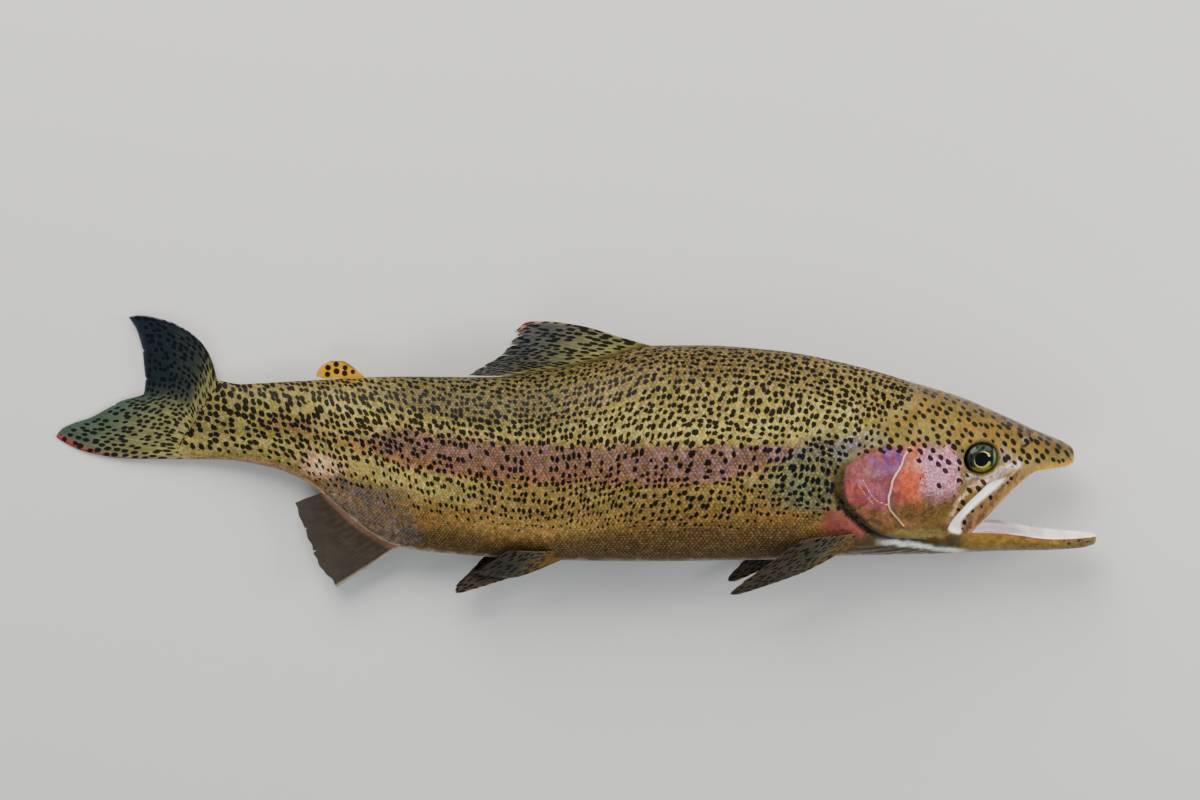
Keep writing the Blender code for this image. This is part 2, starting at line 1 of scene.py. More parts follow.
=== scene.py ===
"""Looks of a life-size rainbow trout, lying on its left side with its mouth open.

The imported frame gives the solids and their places. This script replaces them with one
skin, a coat of scale plates, ribbed fins, eyes, teeth and tongue, all in the same places.

Shapes are worked out in the fish's own measures, in millimetres, and laid on the floor last:
  station  distance behind the tip of the snout
  height   distance above the axis that runs through the middle of the trunk
  side     distance from the plane that parts the fish in two, positive on its right
"""

from __future__ import annotations

import logging
import math
from dataclasses import dataclass, field
from enum import Enum
from typing import Callable, Sequence

import bmesh
import bpy
import numpy as np
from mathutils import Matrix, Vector


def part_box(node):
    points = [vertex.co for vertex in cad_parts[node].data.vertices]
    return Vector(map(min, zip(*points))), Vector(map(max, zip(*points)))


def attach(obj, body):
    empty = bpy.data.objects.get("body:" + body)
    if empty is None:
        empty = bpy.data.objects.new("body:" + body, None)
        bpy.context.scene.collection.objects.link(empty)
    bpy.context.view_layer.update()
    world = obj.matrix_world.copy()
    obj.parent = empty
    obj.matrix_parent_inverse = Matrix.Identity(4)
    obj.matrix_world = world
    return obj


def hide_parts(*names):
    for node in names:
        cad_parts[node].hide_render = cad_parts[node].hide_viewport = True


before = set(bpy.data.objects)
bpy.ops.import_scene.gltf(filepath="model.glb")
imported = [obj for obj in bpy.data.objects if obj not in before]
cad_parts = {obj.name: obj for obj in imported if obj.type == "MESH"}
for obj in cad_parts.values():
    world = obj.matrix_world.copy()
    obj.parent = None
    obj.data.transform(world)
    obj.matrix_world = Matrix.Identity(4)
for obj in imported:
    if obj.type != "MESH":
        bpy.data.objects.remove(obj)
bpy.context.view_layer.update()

MM = 0.001
SIDES = ((1.0, "right"), (-1.0, "left"))
FLESH = (
    "head", "lower_jaw", "maxilla_right", "maxilla_left", "gill_cover_right",
    "gill_cover_left", "trunk_front", "trunk_middle", "trunk_rear", "tail_stalk",
)
Array = np.ndarray
Points = Sequence[Sequence[float]]
log = logging.getLogger("trout")


# ---- number helpers
def smooth(low: float | Array, high: float | Array, x: Array) -> Array:
    """An S-shaped ramp: 0 below low, 1 above high, level at both ends.

    Args:
        low: Where the ramp starts.
        high: Where it ends; it may lie below low, which turns the ramp round.
        x: The values to read the ramp at.

    Returns:
        3t^2 - 2t^3, where t is how far x has come from low to high.
    """
    t = np.clip((x - low) / (high - low), 0.0, 1.0)
    return t * t * (3.0 - 2.0 * t)


def window(at: Array, start: float, full: float, full_end: float, end: float) -> Array:
    """1 from full to full_end, with S-shaped ramps that reach 0 at start and at end."""
    return smooth(start, full, at) * smooth(end, full_end, at)


def bell(x: Array, centre: float | Array, spread: float) -> Array:
    """A rounded bump of height 1: exp(-((x - centre) / spread)^2)."""
    return np.exp(-(((x - centre) / spread) ** 2))


def curve(points: Points, at: Array | float) -> Array:
    """A smooth curve through points that never overshoots them.

    Between two points it is the cubic with given slopes at both, and each slope is the
    weighted harmonic mean of the slopes of the chords on its two sides.

    Args:
        points: (x, y) pairs with x rising.
        at: Where to read the curve; past its ends it stays level.

    Returns:
        The curve's y at each x.
    """
    x, y = np.array(points, float).T
    run = np.diff(x)
    slope = np.diff(y) / run
    bend = np.zeros(len(x))
    bend[0], bend[-1] = slope[0], slope[-1]
    turning = slope[:-1] * slope[1:] > 0
    a, b = 2 * run[1:] + run[:-1], run[1:] + 2 * run[:-1]
    with np.errstate(divide="ignore", invalid="ignore"):
        mean = (a + b) / (a / slope[:-1] + b / slope[1:])
    bend[1:-1] = np.where(turning, mean, 0.0)
    at = np.clip(np.asarray(at, float), x[0], x[-1])
    i = np.clip(np.searchsorted(x, at) - 1, 0, len(run) - 1)
    t = (at - x[i]) / run[i]
    return (
        (1 + 2 * t) * (1 - t) ** 2 * y[i]
        + t * (1 - t) ** 2 * run[i] * bend[i]
        + t * t * (3 - 2 * t) * y[i + 1]
        + t * t * (t - 1) * run[i] * bend[i + 1]
    )


def path(points: Points, share: Array) -> Array:
    """A smooth line through 2-D points, read at shares of its length.

    Args:
        points: The points that it passes, in order.
        share: Shares of the way along it, of any shape.

    Returns:
        The places there, with one more axis than share.
    """
    points = np.array(points, float)
    steps = np.linalg.norm(np.diff(points, axis=0), axis=1)
    along = np.concatenate([[0.0], np.cumsum(steps)]) / steps.sum()
    return np.stack([curve(np.column_stack([along, points[:, k]]), share) for k in (0, 1)], -1)


def line_through(points: Points, count: int, closed: bool = False) -> Array:
    """The same line as count points, evenly spaced; closed, it also returns to its start."""
    if closed:
        points = (*points, points[0])
    line = path(points, np.linspace(0.0, 1.0, count))
    return line[:-1] if closed else line


def waves(x: Array, y: Array, size: float, seed: int) -> Array:
    """Soft seeded unevenness, about -1 to 1: six sine waves that cross at random angles.

    Args:
        x: First coordinate.
        y: Second coordinate.
        size: Length of a typical wave.
        seed: Chooses the angles and phases.

    Returns:
        The sum of the waves, each sin(2 pi (x cos a + y sin a) / length + phase).
    """
    rng = np.random.default_rng(seed)
    total = np.zeros(np.broadcast(x, y).shape)
    for _ in range(6):
        angle, phase = rng.uniform(0, 2 * math.pi, 2)
        length = size * rng.uniform(0.7, 1.5)
        total += np.sin(2 * math.pi * (x * math.cos(angle) + y * math.sin(angle)) / length + phase)
    return total / 3.0


def gap_to(line: Array, x: Array, y: Array) -> Array:
    """Distance from points to a broken line.

    Args:
        line: The line's corners, (n, 2).
        x: First coordinate of the points.
        y: Second coordinate of the points.

    Returns:
        The least distance to any of the line's runs.
    """
    flat = np.column_stack([np.ravel(x), np.ravel(y)])
    best = np.full(len(flat), np.inf)
    for start, end in zip(line[:-1], line[1:]):
        run = end - start
        share = np.clip(((flat - start) @ run) / max(run @ run, 1e-12), 0.0, 1.0)
        away = flat - start - share[:, None] * run
        best = np.minimum(best, np.einsum("ij,ij->i", away, away))
    return np.sqrt(best).reshape(np.shape(x))


def depth_in(outline: Array, x: Array, y: Array) -> Array:
    """How deep points lie inside a closed outline; negative outside.

    A point is inside where a ray from it crosses the outline an odd number of times.

    Args:
        outline: The outline's corners, (n, 2); its last joins its first.
        x: First coordinate of the points.
        y: Second coordinate of the points.

    Returns:
        The distance to the outline, with a minus sign outside.
    """
    closed = np.vstack([outline, outline[:1]])
    px, py = np.ravel(x), np.ravel(y)
    odd = np.zeros(len(px), bool)
    for (x0, y0), (x1, y1) in zip(closed[:-1], closed[1:]):
        spans = (y0 > py) != (y1 > py)
        with np.errstate(divide="ignore", invalid="ignore"):
            cross = x0 + (py - y0) * (x1 - x0) / (y1 - y0)
        odd ^= spans & (px < cross)
    sign = np.where(odd, 1.0, -1.0).reshape(np.shape(x))
    return sign * gap_to(closed, x, y)


def linear(red: float, green: float, blue: float) -> tuple[float, float, float, float]:
    """A colour of 0 to 255 per channel as the renderer's linear light, with alpha 1."""
    parts = (c / 255.0 for c in (red, green, blue))
    made = [c / 12.92 if c < 0.04045 else ((c + 0.055) / 1.055) ** 2.4 for c in parts]
    return (made[0], made[1], made[2], 1.0)


# ---- form of the fish
@dataclass
class Form:
    """The trout's outline, thickness and lie, and the places on its body.

    Profiles are (station, value) pairs. A section at a station is a superellipse: its
    height above the widest line is reach * |sin a|^(2/n) and its side width * |cos a|^(2/n).
    """

    back: Points = (
        (0, -3.0), (0.5, 0.0), (1.5, 2.0), (6, 5.2), (15, 9.2), (27, 14.2), (37, 19.0),
        (70, 33.5), (95, 41.4), (131, 52.2), (179, 62.0), (228, 65.4), (257, 65.2),
        (288, 56.8), (318, 50.6), (354, 45.2), (409, 44.6), (458, 41.6), (492, 39.2),
        (507, 38.2), (521, 40.4),
    )
    belly: Points = (
        (64, -61.0), (142, -64.0), (200, -66.0), (265, -67.0), (330, -66.4), (373, -64.6),
        (400, -62.6), (412, -60.4), (423, -55.8), (447, -37.8), (459, -26.8), (468, -19.6),
        (484, -12.4), (502, -9.0), (521, -9.2),
    )
    width: Points = (
        (0, 0.5), (0.5, 2.7), (2, 5.6), (6, 9.0), (13, 12.0), (28, 16.2), (56, 21.8),
        (90, 28.0), (130, 31.8), (170, 32.8), (240, 33.6), (300, 32.0), (370, 26.0),
        (430, 18.8), (480, 12.6), (508, 8.0), (521, 3.0),
    )
    widest: Points = (
        (0, -3.6), (20, -2.5), (56, -6.0), (120, -8.0), (200, 0.0), (330, -2.0),
        (400, -3.0), (461, 11.0), (508, 17.0), (521, 17.3),
    )
    plane: Points = (
        (-15, 26.0), (60, 28.4), (130, 30.4), (200, 31.2), (300, 30.2), (370, 24.4),
        (430, 17.4), (480, 12.0), (508, 8.8), (560, 4.2), (600, 1.9), (623, 0.7),
    )
    power_above: float = 2.1
    power_below: Points = ((0, 3.2), (66, 3.2), (142, 2.3), (521, 2.1))
    stalk_start: float = 445.0
    stalk_end: float = 521.0
    stalk_slant: float = 31.0
    softness: float = 1.5
    table_rows: int = 261
    table_columns: int = 201
    snout_x: float = 0.0
    axis_y: float = 0.0

    def __post_init__(self) -> None:
        """Finds the fish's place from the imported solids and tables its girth."""
        self.snout_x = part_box("head")[1].x / MM
        top = max(value for _, value in self.back)
        self.axis_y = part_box("trunk_front")[1].y / MM - top
        self._stations = np.linspace(0.0, self.stalk_end, self.table_rows)
        falling = np.linspace(0.5 * math.pi, -0.5 * math.pi, 361)
        height, side = self.section(self._stations[:, None], falling[None])
        step = np.hypot(np.diff(height, axis=1), np.diff(side, axis=1))
        start = np.zeros((self.table_rows, 1))
        along = np.concatenate([start, np.cumsum(step, axis=1)], axis=1)
        self._half_girth = along[:, -1]
        shares = np.linspace(0.0, 1.0, self.table_columns)
        self._angles = np.array([np.interp(shares, a / a[-1], falling) for a in along])

    def section(self, station: Array, angle: Array) -> tuple[Array, Array]:
        """Height and side round the body. Angle 0 is the right flank, 90 degrees the back."""
        rise, spread = np.sin(angle), np.cos(angle)
        middle = curve(self.widest, station)
        top = curve(self.back, station)
        bottom = curve(self.belly, station)
        power = np.where(rise > 0, self.power_above, curve(self.power_below, station))
        reach = np.where(rise > 0, top - middle, middle - bottom)
        height = middle + reach * np.sign(rise) * np.abs(rise) ** (2 / power)
        side = curve(self.width, station) * np.sign(spread) * np.abs(spread) ** (2 / power)
        return height, side

    def half_width(self, station: Array, height: Array) -> Array:
        """Distance from the middle plane to the skin at a height, by the same section."""
        middle = curve(self.widest, station)
        above = (height - middle) / (curve(self.back, station) - middle)
        below = (middle - height) / (middle - curve(self.belly, station))
        power = np.where(height > middle, self.power_above, curve(self.power_below, station))
        share = np.clip(np.where(height > middle, above, below), 0.0, 1.0)
        return curve(self.width, station) * (1 - share**power) ** (1 / power)

    def slant(self, station: Array, height: Array) -> Array:
        """How far a point of the stalk is moved back, because its rear end leans back below."""
        length = self.stalk_end - self.stalk_start
        share = np.clip((station - self.stalk_start) / length, 0.0, 1.0)
        top, bottom = curve(self.back, station), curve(self.belly, station)
        return self.stalk_slant * share**2 * (top - height) / (top - bottom)

    def half_girth(self, station: Array) -> Array:
        """Distance round one side, from the line of the back to the line of the belly."""
        return np.interp(station, self._stations, self._half_girth)

    def angle(self, station: Array, share: Array) -> Array:
        """The section's angle at a share of the way from the back (0) to the belly (1)."""
        table, short = self._angles, 0.001
        rows, columns = self.table_rows - 1, self.table_columns - 1
        row = np.interp(station, self._stations, np.arange(self.table_rows, dtype=float))
        row = np.clip(row, 0, rows - short)
        column = np.clip(np.asarray(share) * columns, 0, columns - short)
        row, column = np.broadcast_arrays(row, column)
        r, c = row.astype(int), column.astype(int)
        fr, fc = row - r, column - c
        low = table[r, c] * (1 - fc) + table[r, c + 1] * fc
        high = table[r + 1, c] * (1 - fc) + table[r + 1, c + 1] * fc
        return low * (1 - fr) + high * fr

    def share_at(self, station: float, height: float) -> float:
        """The share of the way round at which the skin has a height."""
        shares = np.linspace(0, 1, 400)
        heights = self.section(station, self.angle(station, shares))[0]
        return float(np.interp(-height, -heights, shares))

    def flank(self, station: Array, share: Array, hand: Array | float) -> Array:
        """Points of the plain body, before any detail of the head.

        Args:
            station: Station of the section.
            share: Share of the way from the line of the back to the line of the belly.
            hand: 1 on the fish's right, -1 on its left.

        Returns:
            Points of (station, height, side), slanted back near the tail.
        """
        height, side = self.section(station, self.angle(station, share))
        back = station + self.slant(station, height)
        return np.stack(np.broadcast_arrays(back, height, side * hand), -1)

    def lay(self, points: Array, floor: float | Array = 0.0) -> Array:
        """Lays points of (station, height, side) on the floor.

        The fish turns on its left side, so side becomes height above the floor. Soft
        flesh that would sink below the floor level flattens against it.

        Args:
            points: Any array whose last axis is station, height, side, in millimetres.
            floor: Least height above the floor, in millimetres.

        Returns:
            Places in metres.
        """
        station, height, side = np.moveaxis(np.asarray(points, float), -1, 0)
        up, give = curve(self.plane, station) + side - floor, self.softness
        pressed = (up + give) ** 2 / (4 * give)
        up = np.where(up < -give, 0.0, np.where(up < give, pressed, up))
        return np.stack([self.snout_x - station, self.axis_y + height, up + floor], -1) * MM


# ---- mesh helpers
@dataclass
class Mesh:
    """Points, four-sided faces and named values at the points, still in fish measures."""

    points: Array
    faces: Array
    values: dict[str, Array] = field(default_factory=dict)

    @staticmethod
    def grid(points: Array, ring: bool = False, **values: Array) -> Mesh:
        """A mesh over a grid of points.

        Args:
            points: (rows, columns, 3).
            ring: Whether the last column joins the first.
            values: Named arrays of (rows, columns) or (rows, columns, n).

        Returns:
            The mesh, with a face for each cell of the grid.
        """
        rows, columns = points.shape[:2]
        r = np.arange(rows - 1)[:, None]
        c = np.arange(columns if ring else columns - 1)[None]
        n = (c + 1) % columns
        near, far = r * columns, (r + 1) * columns
        faces = np.stack([near + c, near + n, far + n, far + c], -1)
        flat = {k: v.reshape(rows * columns, *v.shape[2:]) for k, v in values.items()}
        return Mesh(points.reshape(-1, 3), faces.reshape(-1, 4), flat)

    @staticmethod
    def join(parts: Sequence[Mesh]) -> Mesh:
        """Several meshes as one, with the values that they all have."""
        shift = np.cumsum([0] + [len(p.points) for p in parts[:-1]])
        names = set.intersection(*(set(p.values) for p in parts))
        return Mesh(
            np.concatenate([p.points for p in parts]),
            np.concatenate([p.faces + s for p, s in zip(parts, shift)]),
            {n: np.concatenate([p.values[n] for p in parts]) for n in sorted(names)},
        )

    def weld(self, within: float = 1e-4) -> Mesh:
        """The mesh with points that coincide made one; values are kept from the first."""
        keys = np.round(self.points / within).astype(np.int64)
        _, first, index = np.unique(keys, axis=0, return_index=True, return_inverse=True)
        faces = index.reshape(-1)[self.faces]
        return Mesh(self.points[first], faces, {n: v[first] for n, v in self.values.items()})

    def normals(self) -> Array:
        """Unit normals at the points: the mean of the normals of the faces round each."""
        a, b, c, d = (self.points[self.faces[:, i]] for i in range(4))
        facing = np.cross(c - a, d - b)
        total = np.zeros_like(self.points)
        for i in range(4):
            np.add.at(total, self.faces[:, i], facing)
        length = np.linalg.norm(total, axis=1, keepdims=True)
        return total / np.maximum(length, 1e-12)


def make_object(
    name: str, places: Array, faces: Array, material: bpy.types.Material,
    values: dict[str, Array],
) -> bpy.types.Object:
    """Puts a worked-out mesh into the scene.

    Args:
        name: The piece's name.
        places: Its points, in metres.
        faces: Its faces; a corner given twice makes a triangle.
        material: Its finish.
        values: Named values at the points: one number, or three as a vector.

    Returns:
        The new object, shaded smooth.
    """
    mesh = bpy.data.meshes.new(name)
    same = faces == np.roll(faces, 1, axis=1)
    loops, sizes = faces[~same], (~same).sum(axis=1)
    whole = sizes > 2
    keep = np.repeat(whole, sizes)
    loops, sizes = loops[keep], sizes[whole]
    mesh.vertices.add(len(places))
    mesh.vertices.foreach_set("co", places.astype(np.float32).ravel())
    mesh.loops.add(len(loops))
    mesh.loops.foreach_set("vertex_index", loops.astype(np.int32))
    mesh.polygons.add(len(sizes))
    starts = np.concatenate([[0], np.cumsum(sizes)[:-1]])
    mesh.polygons.foreach_set("loop_start", starts.astype(np.int32))
    mesh.update(calc_edges=True)
    for key, value in values.items():
        wide = value.ndim == 2
        layer = mesh.attributes.new(key, "FLOAT_VECTOR" if wide else "FLOAT", "POINT")
        layer.data.foreach_set("vector" if wide else "value", value.astype(np.float32).ravel())
    turn_outwards(mesh)
    mesh.shade_smooth()
    mesh.materials.append(material)
    made = bpy.data.objects.new(name, mesh)
    bpy.context.scene.collection.objects.link(made)
    return made


def turn_outwards(mesh: bpy.types.Mesh) -> None:
    """Turns the faces of each closed shell outwards."""
    shell = bmesh.new()
    shell.from_mesh(mesh)
    bmesh.ops.recalc_face_normals(shell, faces=shell.faces)
    shell.to_mesh(mesh)
    shell.free()


def settle(piece: bpy.types.Object, slot: str, *nodes: str) -> bpy.types.Object:
    """Makes a piece ride on the fish and stand for its solids."""
    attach(piece, "root")
    if nodes:
        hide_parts(*nodes)
    count = sum(len(p.vertices) - 2 for p in piece.data.polygons)
    log.info("%s: %d triangles", piece.name, count)
    return piece


# ---- map of the head
@dataclass(frozen=True)
class HeadMap:
    """Where the head's parts lie in side view, as lines of (station, height)."""

    corner: tuple[float, float] = (66.0, -46.0)
    upper_edge: Points = (
        (0, -4.0), (0.7, -5.8), (3, -7.2), (15, -8.6), (24, -9.4), (36, -16.7),
        (48, -28.2), (56.5, -37.4), (61.5, -42.2), (66, -46.0),
    )
    palate: Points = ((0, -3.6), (10, -4.6), (30, -7.0), (66, -20.0))
    lower_rim: Points = (
        (-15, -52.8), (-13, -51.9), (-9, -51.7), (-2, -51.6), (11, -51.2), (24, -49.8),
        (36, -47.6), (48, -46.2), (66, -46.0),
    )
    lower_bottom: Points = (
        (-15, -54.8), (-14.4, -56.8), (-12.6, -58.2), (-5, -59.8), (12, -60.6),
        (46, -60.8), (66, -61.0),
    )
    lower_width: Points = (
        (-15, 0.5), (-14.4, 2.2), (-13, 4.2), (-9, 7.2), (0, 11.0), (12, 14.0),
        (30, 16.8), (66, 20.6),
    )
    eye: tuple[float, float] = (59.6, 0.0)
    socket: tuple[float, float] = (10.3, 9.4)
    eye_line: Points = ((66, -10.6), (58, -10.2), (50, -8.4), (42, -5.6), (37, -3.4))
    eye_crease: Points = ((70, -9.5), (60, -12.4), (50, -10.9))
    bone_over_eye: Points = ((44, 9.5), (54, 13.6), (66, 12.8), (74, 8.0))
    bone_under_eye: Points = ((66, -10.8), (56, -9.4), (48, -7.4), (41, -4.6))
    crease_under_eye: Points = ((68, -13.6), (58, -12.6), (49, -10.9), (41, -8))
    brow: Points = ((20, 5.8), (30, 11.6), (44, 15.8), (60, 18.4), (78, 18))
    nostril: tuple[float, float] = (32.2, 7.2)
    maxilla: Points = (
        (27, -5.4), (33, -6.2), (37.3, -7.8), (42.1, -11.4), (48, -16.3), (56.9, -23.5),
        (62.8, -28.4), (68.6, -34.5), (71.4, -39.5), (70.6, -43.2), (67.2, -46.6),
        (60, -45), (50, -35), (40, -25), (30, -15), (24, -10),
    )
    membrane: Points = (
        (44.4, -12.2), (51.9, -13.9), (59.3, -19.6), (69.4, -29.3), (77.6, -39.4),
        (78.6, -42.4), (75, -45.4), (71, -46), (70.6, -43.2), (71.4, -39.5), (68.6, -34.5),
        (62.8, -28.4), (56.9, -23.5), (48, -16.3),
    )
    fold: Points = ((80, -37), (75, -27), (68, -20), (59, -14), (50, -10.6))
    cheek: Points = (
        (80, 9), (86, 6), (96, 9), (99, 6), (98, -10), (99, -26), (95, -38), (84, -33),
        (76, -22), (72, -10), (73, -2),
    )
    preopercle: Points = (
        (103.4, 8.6), (104.6, 6.4), (106.9, 2.8), (108.6, -2.1), (111.5, -6.9),
        (113.8, -11.2), (114.9, -17.2), (116, -22.1), (115.3, -27.6), (112.8, -31.3),
        (109.8, -34.9), (106.1, -39.2),
    )
    opercle: Points = (
        (101, 9.4), (112, 9.2), (121, 8.6), (127.3, 6.6), (134, 4.0), (141, -0.5),
        (143.7, -7.9), (144.2, -13.9), (142.9, -21.2), (138.7, -27.3), (133.8, -32.8),
        (128.4, -38.3), (123.5, -42.6), (114.4, -46.5), (104, -47.6), (94, -46.4),
        (90, -38), (92, -20), (95, 0),
    )
    orange_band: Points = (
        (96.5, 9.5), (103.5, 9.5), (106, 0), (111, -14), (112, -32), (104, -36),
        (98, -30), (95.5, -10),
    )
    cover_foot: Points = ((74, -44), (92, -42), (110, -42), (118, -46), (108, -49), (84, -49))
    # Pale lines thinner than the main one, each with the distance that makes it so.
    thin_lines: tuple[tuple[Points, float], ...] = (
        (((131.5, -10.5), (127.5, -17.5), (122.8, -23), (117, -25.8)), 0.2),
        (((134, -13), (129.8, -19.6), (125, -25)), 0.25),
    )
    grooves: tuple[Points, ...] = (
        ((117, -31), (121, -35.5), (127, -36.8), (131, -35.4)),
        ((121, -14), (124.5, -20), (129, -26), (136, -29.5)),
        ((108, -41), (100, -44), (90, -45.6), (82, -46.2)),
        ((92.5, 6), (91.4, -8), (90.6, -22), (92, -34), (96, -42)),
    )
    gill_slit: Points = (
        (121, 12.0), (130, 9.0), (139, 4.6), (145.2, -1.5), (147.4, -10), (147.2, -17),
        (145, -24), (140.6, -31), (135, -37), (128, -43), (118, -48.4), (106, -50.6),
        (92, -51.2), (80, -51.0),
    )
    red_flesh: Points = (
        (133, -37), (141, -31.5), (149, -27), (154, -34), (153, -45), (142, -50), (129, -46),
    )
    streak: Points = ((122, -51.2), (106.7, -52.4), (90, -55.4), (70.3, -58.2), (58, -59.6))
    # (height, station) pairs: the scales start behind this line.
    scale_edge: Points = (
        (-66, 142), (-64, 140), (-55, 134), (-49, 141), (-43, 152), (-34, 154), (-28, 151),
        (-20, 150), (-12, 149.4), (-4, 147.6), (2, 143), (7, 136), (11, 129), (17, 123),
        (26, 118), (32, 106), (40, 101), (66, 99),
    )
    upper_wall: tuple[float, float] = (3.4, 0.45)
    lower_wall: tuple[float, float] = (3.0, 0.4)

    def eye_ring(self, station: Array, height: Array) -> Array:
        """Distance from the middle of the eye, 1 at the rim of its socket."""
        (x, y), (wide, tall) = self.eye, self.socket
        return np.hypot((station - x) / wide, (height - y) / tall)

    @staticmethod
    def thickness(wall: tuple[float, float], side: Array) -> Array:
        """Thickness of a jaw's wall: its full measure, or its share of the half width."""
        return np.minimum(wall[0], wall[1] * side)


HEAD = HeadMap()
RELIEF_END = 175


def gill_relief(x: Array, y: Array, x_soft: Array, y_soft: Array, cover: Array) -> Array:
    """The gill cover: domed plates, each with a lip over the next, and grooves on them.

    Args:
        x: Stations of the points.
        y: Their heights.
        x_soft: Their stations, a little uneven.
        y_soft: Their heights, a little uneven.
        cover: How deep they lie inside the gill cover.

    Returns:
        Millimetres outwards.
    """
    rear = np.clip(smooth(100, 112, x) + smooth(-36, -44, y) * smooth(84, 92, x), 0, 1)
    low = 0.12 + 0.88 * smooth(2, -16, y)
    out = rear * (1.25 * low * smooth(-1.4, 1.8, cover) + 0.5 * smooth(1, 9, cover) - 0.5 * low)
    slit = gap_to(line_through(HEAD.gill_slit, 60), x, y)
    out -= 2.1 * low * bell(slit, 0.0, 1.5) * smooth(84, 100, x)
    out += 0.9 * bell(slit, 6.0, 4.0) * (cover < -3) * smooth(118, 135, x)
    lip = line_through(HEAD.preopercle, 60)
    gap = gap_to(lip, x_soft, y_soft)
    behind = np.sign(x - np.interp(-y, -lip[:, 1], lip[:, 0]))
    step = 0.35 * bell(gap, 0, 0.8) - 0.42 * behind * np.exp(-gap / 2.2)
    out += window(y, -42, -36, 6, 11) * step
    for line in HEAD.grooves:
        out -= 0.42 * bell(gap_to(line_through(line, 24), x_soft, y_soft), 0, 0.9)
    return out


def mouth_relief(x: Array, y: Array) -> Array:
    """The long upper jaw bone, the sunk skin behind it, the throat's folds, the jaw's pores."""
    bone = depth_in(line_through(HEAD.maxilla, 90, closed=True), x, y)
    out = (0.95 * smooth(-0.5, 1.0, bone) - 0.25 * smooth(1.2, 4.0, bone)) * smooth(24, 40, x)
    sheet = depth_in(line_through(HEAD.membrane, 90, closed=True), x, y)
    out -= 1.7 * smooth(-0.8, 2.2, sheet)
    out += 0.45 * bell(sheet, -2.2, 1.6) * (bone < -1.5)
    out += 0.3 * np.sin(2.4 * (0.75 * x + 0.66 * y)) * smooth(0.3, 2, sheet)
    fan = (y + 47) / np.maximum(x - 50, 5.0)
    throat = smooth(-49.5, -52.5, y) * window(x, 76, 92, 128, 142)
    out += throat * (0.55 * np.abs(np.sin(fan * 62.0)) - 0.35)
    for k in range(7):
        out -= 0.4 * bell(np.hypot(x - 40.0 + 7.5 * k, y + 56.0 - 0.25 * k), 0, 0.65)
    return out


def eye_relief(x: Array, y: Array, ring: Array) -> Array:
    """A deep socket with a soft lid, and the bones and creases over and under it."""
    out = 0.75 * bell(ring, 1.2, 0.11) - 8.0 * smooth(1.0, 0.86, ring)
    out -= 1.5 * smooth(1.1, 0.95, ring)
    out += 0.6 * bell(gap_to(np.array(HEAD.bone_over_eye), x, y), 0, 2.6)
    for line, rise, spread in (
        (HEAD.bone_under_eye, 0.7, 1.7), (HEAD.crease_under_eye, -0.55, 1.1),
        (HEAD.brow, 0.45, 3.4),
    ):
        out += rise * bell(gap_to(line_through(line, 30), x, y), 0, spread)
    return out


def relief(station: Array, height: Array) -> Array:
    """How far the flesh of the head stands out of its plain section, in millimetres.

    Each part adds a soft step or bump along its own outline: a plate is a step that rises
    over its edge, a fold or groove is a bell of the distance to its line.

    Args:
        station: Stations of the points, in side view.
        height: Their heights.

    Returns:
        Millimetres outwards.
    """
    near = station < RELIEF_END
    x, y = station[near], height[near]
    x_soft = x + 0.35 * waves(x, y, 9.0, 5)
    y_soft = y + 0.35 * waves(y, x, 8.0, 6)
    cover = depth_in(line_through(HEAD.opercle, 90, closed=True), x_soft, y_soft)
    ring = HEAD.eye_ring(x, y)
    out = gill_relief(x, y, x_soft, y_soft, cover) + mouth_relief(x, y) + eye_relief(x, y, ring)
    # Two nostrils with a flap between them, then the muscle of the cheek and of the nape.
    nx, ny = HEAD.nostril
    for rise, place, wide, tall in (
        (-1.5, (nx - 1.6, ny), 1.2, 1.0), (-1.3, (nx + 1.7, ny + 0.6), 1.1, 1.1),
        (0.75, (nx, ny), 0.9, 1.7), (0.8, (84, -18), 13, 15), (0.5, (110, 22), 20, 9),
    ):
        out += rise * bell(np.hypot((x - place[0]) / wide, (y - place[1]) / tall), 0, 1.0)
    out += 0.09 * waves(x, y, 6.0, 8) * smooth(0.95, 1.3, ring)
    total = np.zeros(station.shape)
    total[near] = out
    return total


# ---- skin
def spline_share(controls: int, count: int) -> Array:
    """How much each control point of a clamped cubic B-spline weighs, by Cox and de Boor.

    Args:
        controls: Number of control points.
        count: Number of points wanted along the curve.

    Returns:
        (count, controls); its product with the control points gives the curve.
    """
    knots = np.concatenate([[0.0] * 3, np.linspace(0, 1, controls - 2), [1.0] * 3])
    at = np.linspace(0, 1, count)
    share = ((knots[:-1] <= at[:, None]) & (at[:, None] < knots[1:])).astype(float)
    share[-1, controls - 1] = 1.0
    for degree in (1, 2, 3):
        k = len(knots) - 1 - degree
        left, right = knots[degree:degree + k] - knots[:k], knots[degree + 1:] - knots[1:k + 1]
        rising = np.divide(at[:, None] - knots[:k], left, out=np.zeros((count, k)), where=left > 0)
        falling = np.divide(
            knots[degree + 1:] - at[:, None], right, out=np.zeros((count, k)), where=right > 0
        )
        share = rising * share[:, :k] + falling * share[:, 1:k + 1]
    share[-1] = np.eye(controls)[-1]
    return share


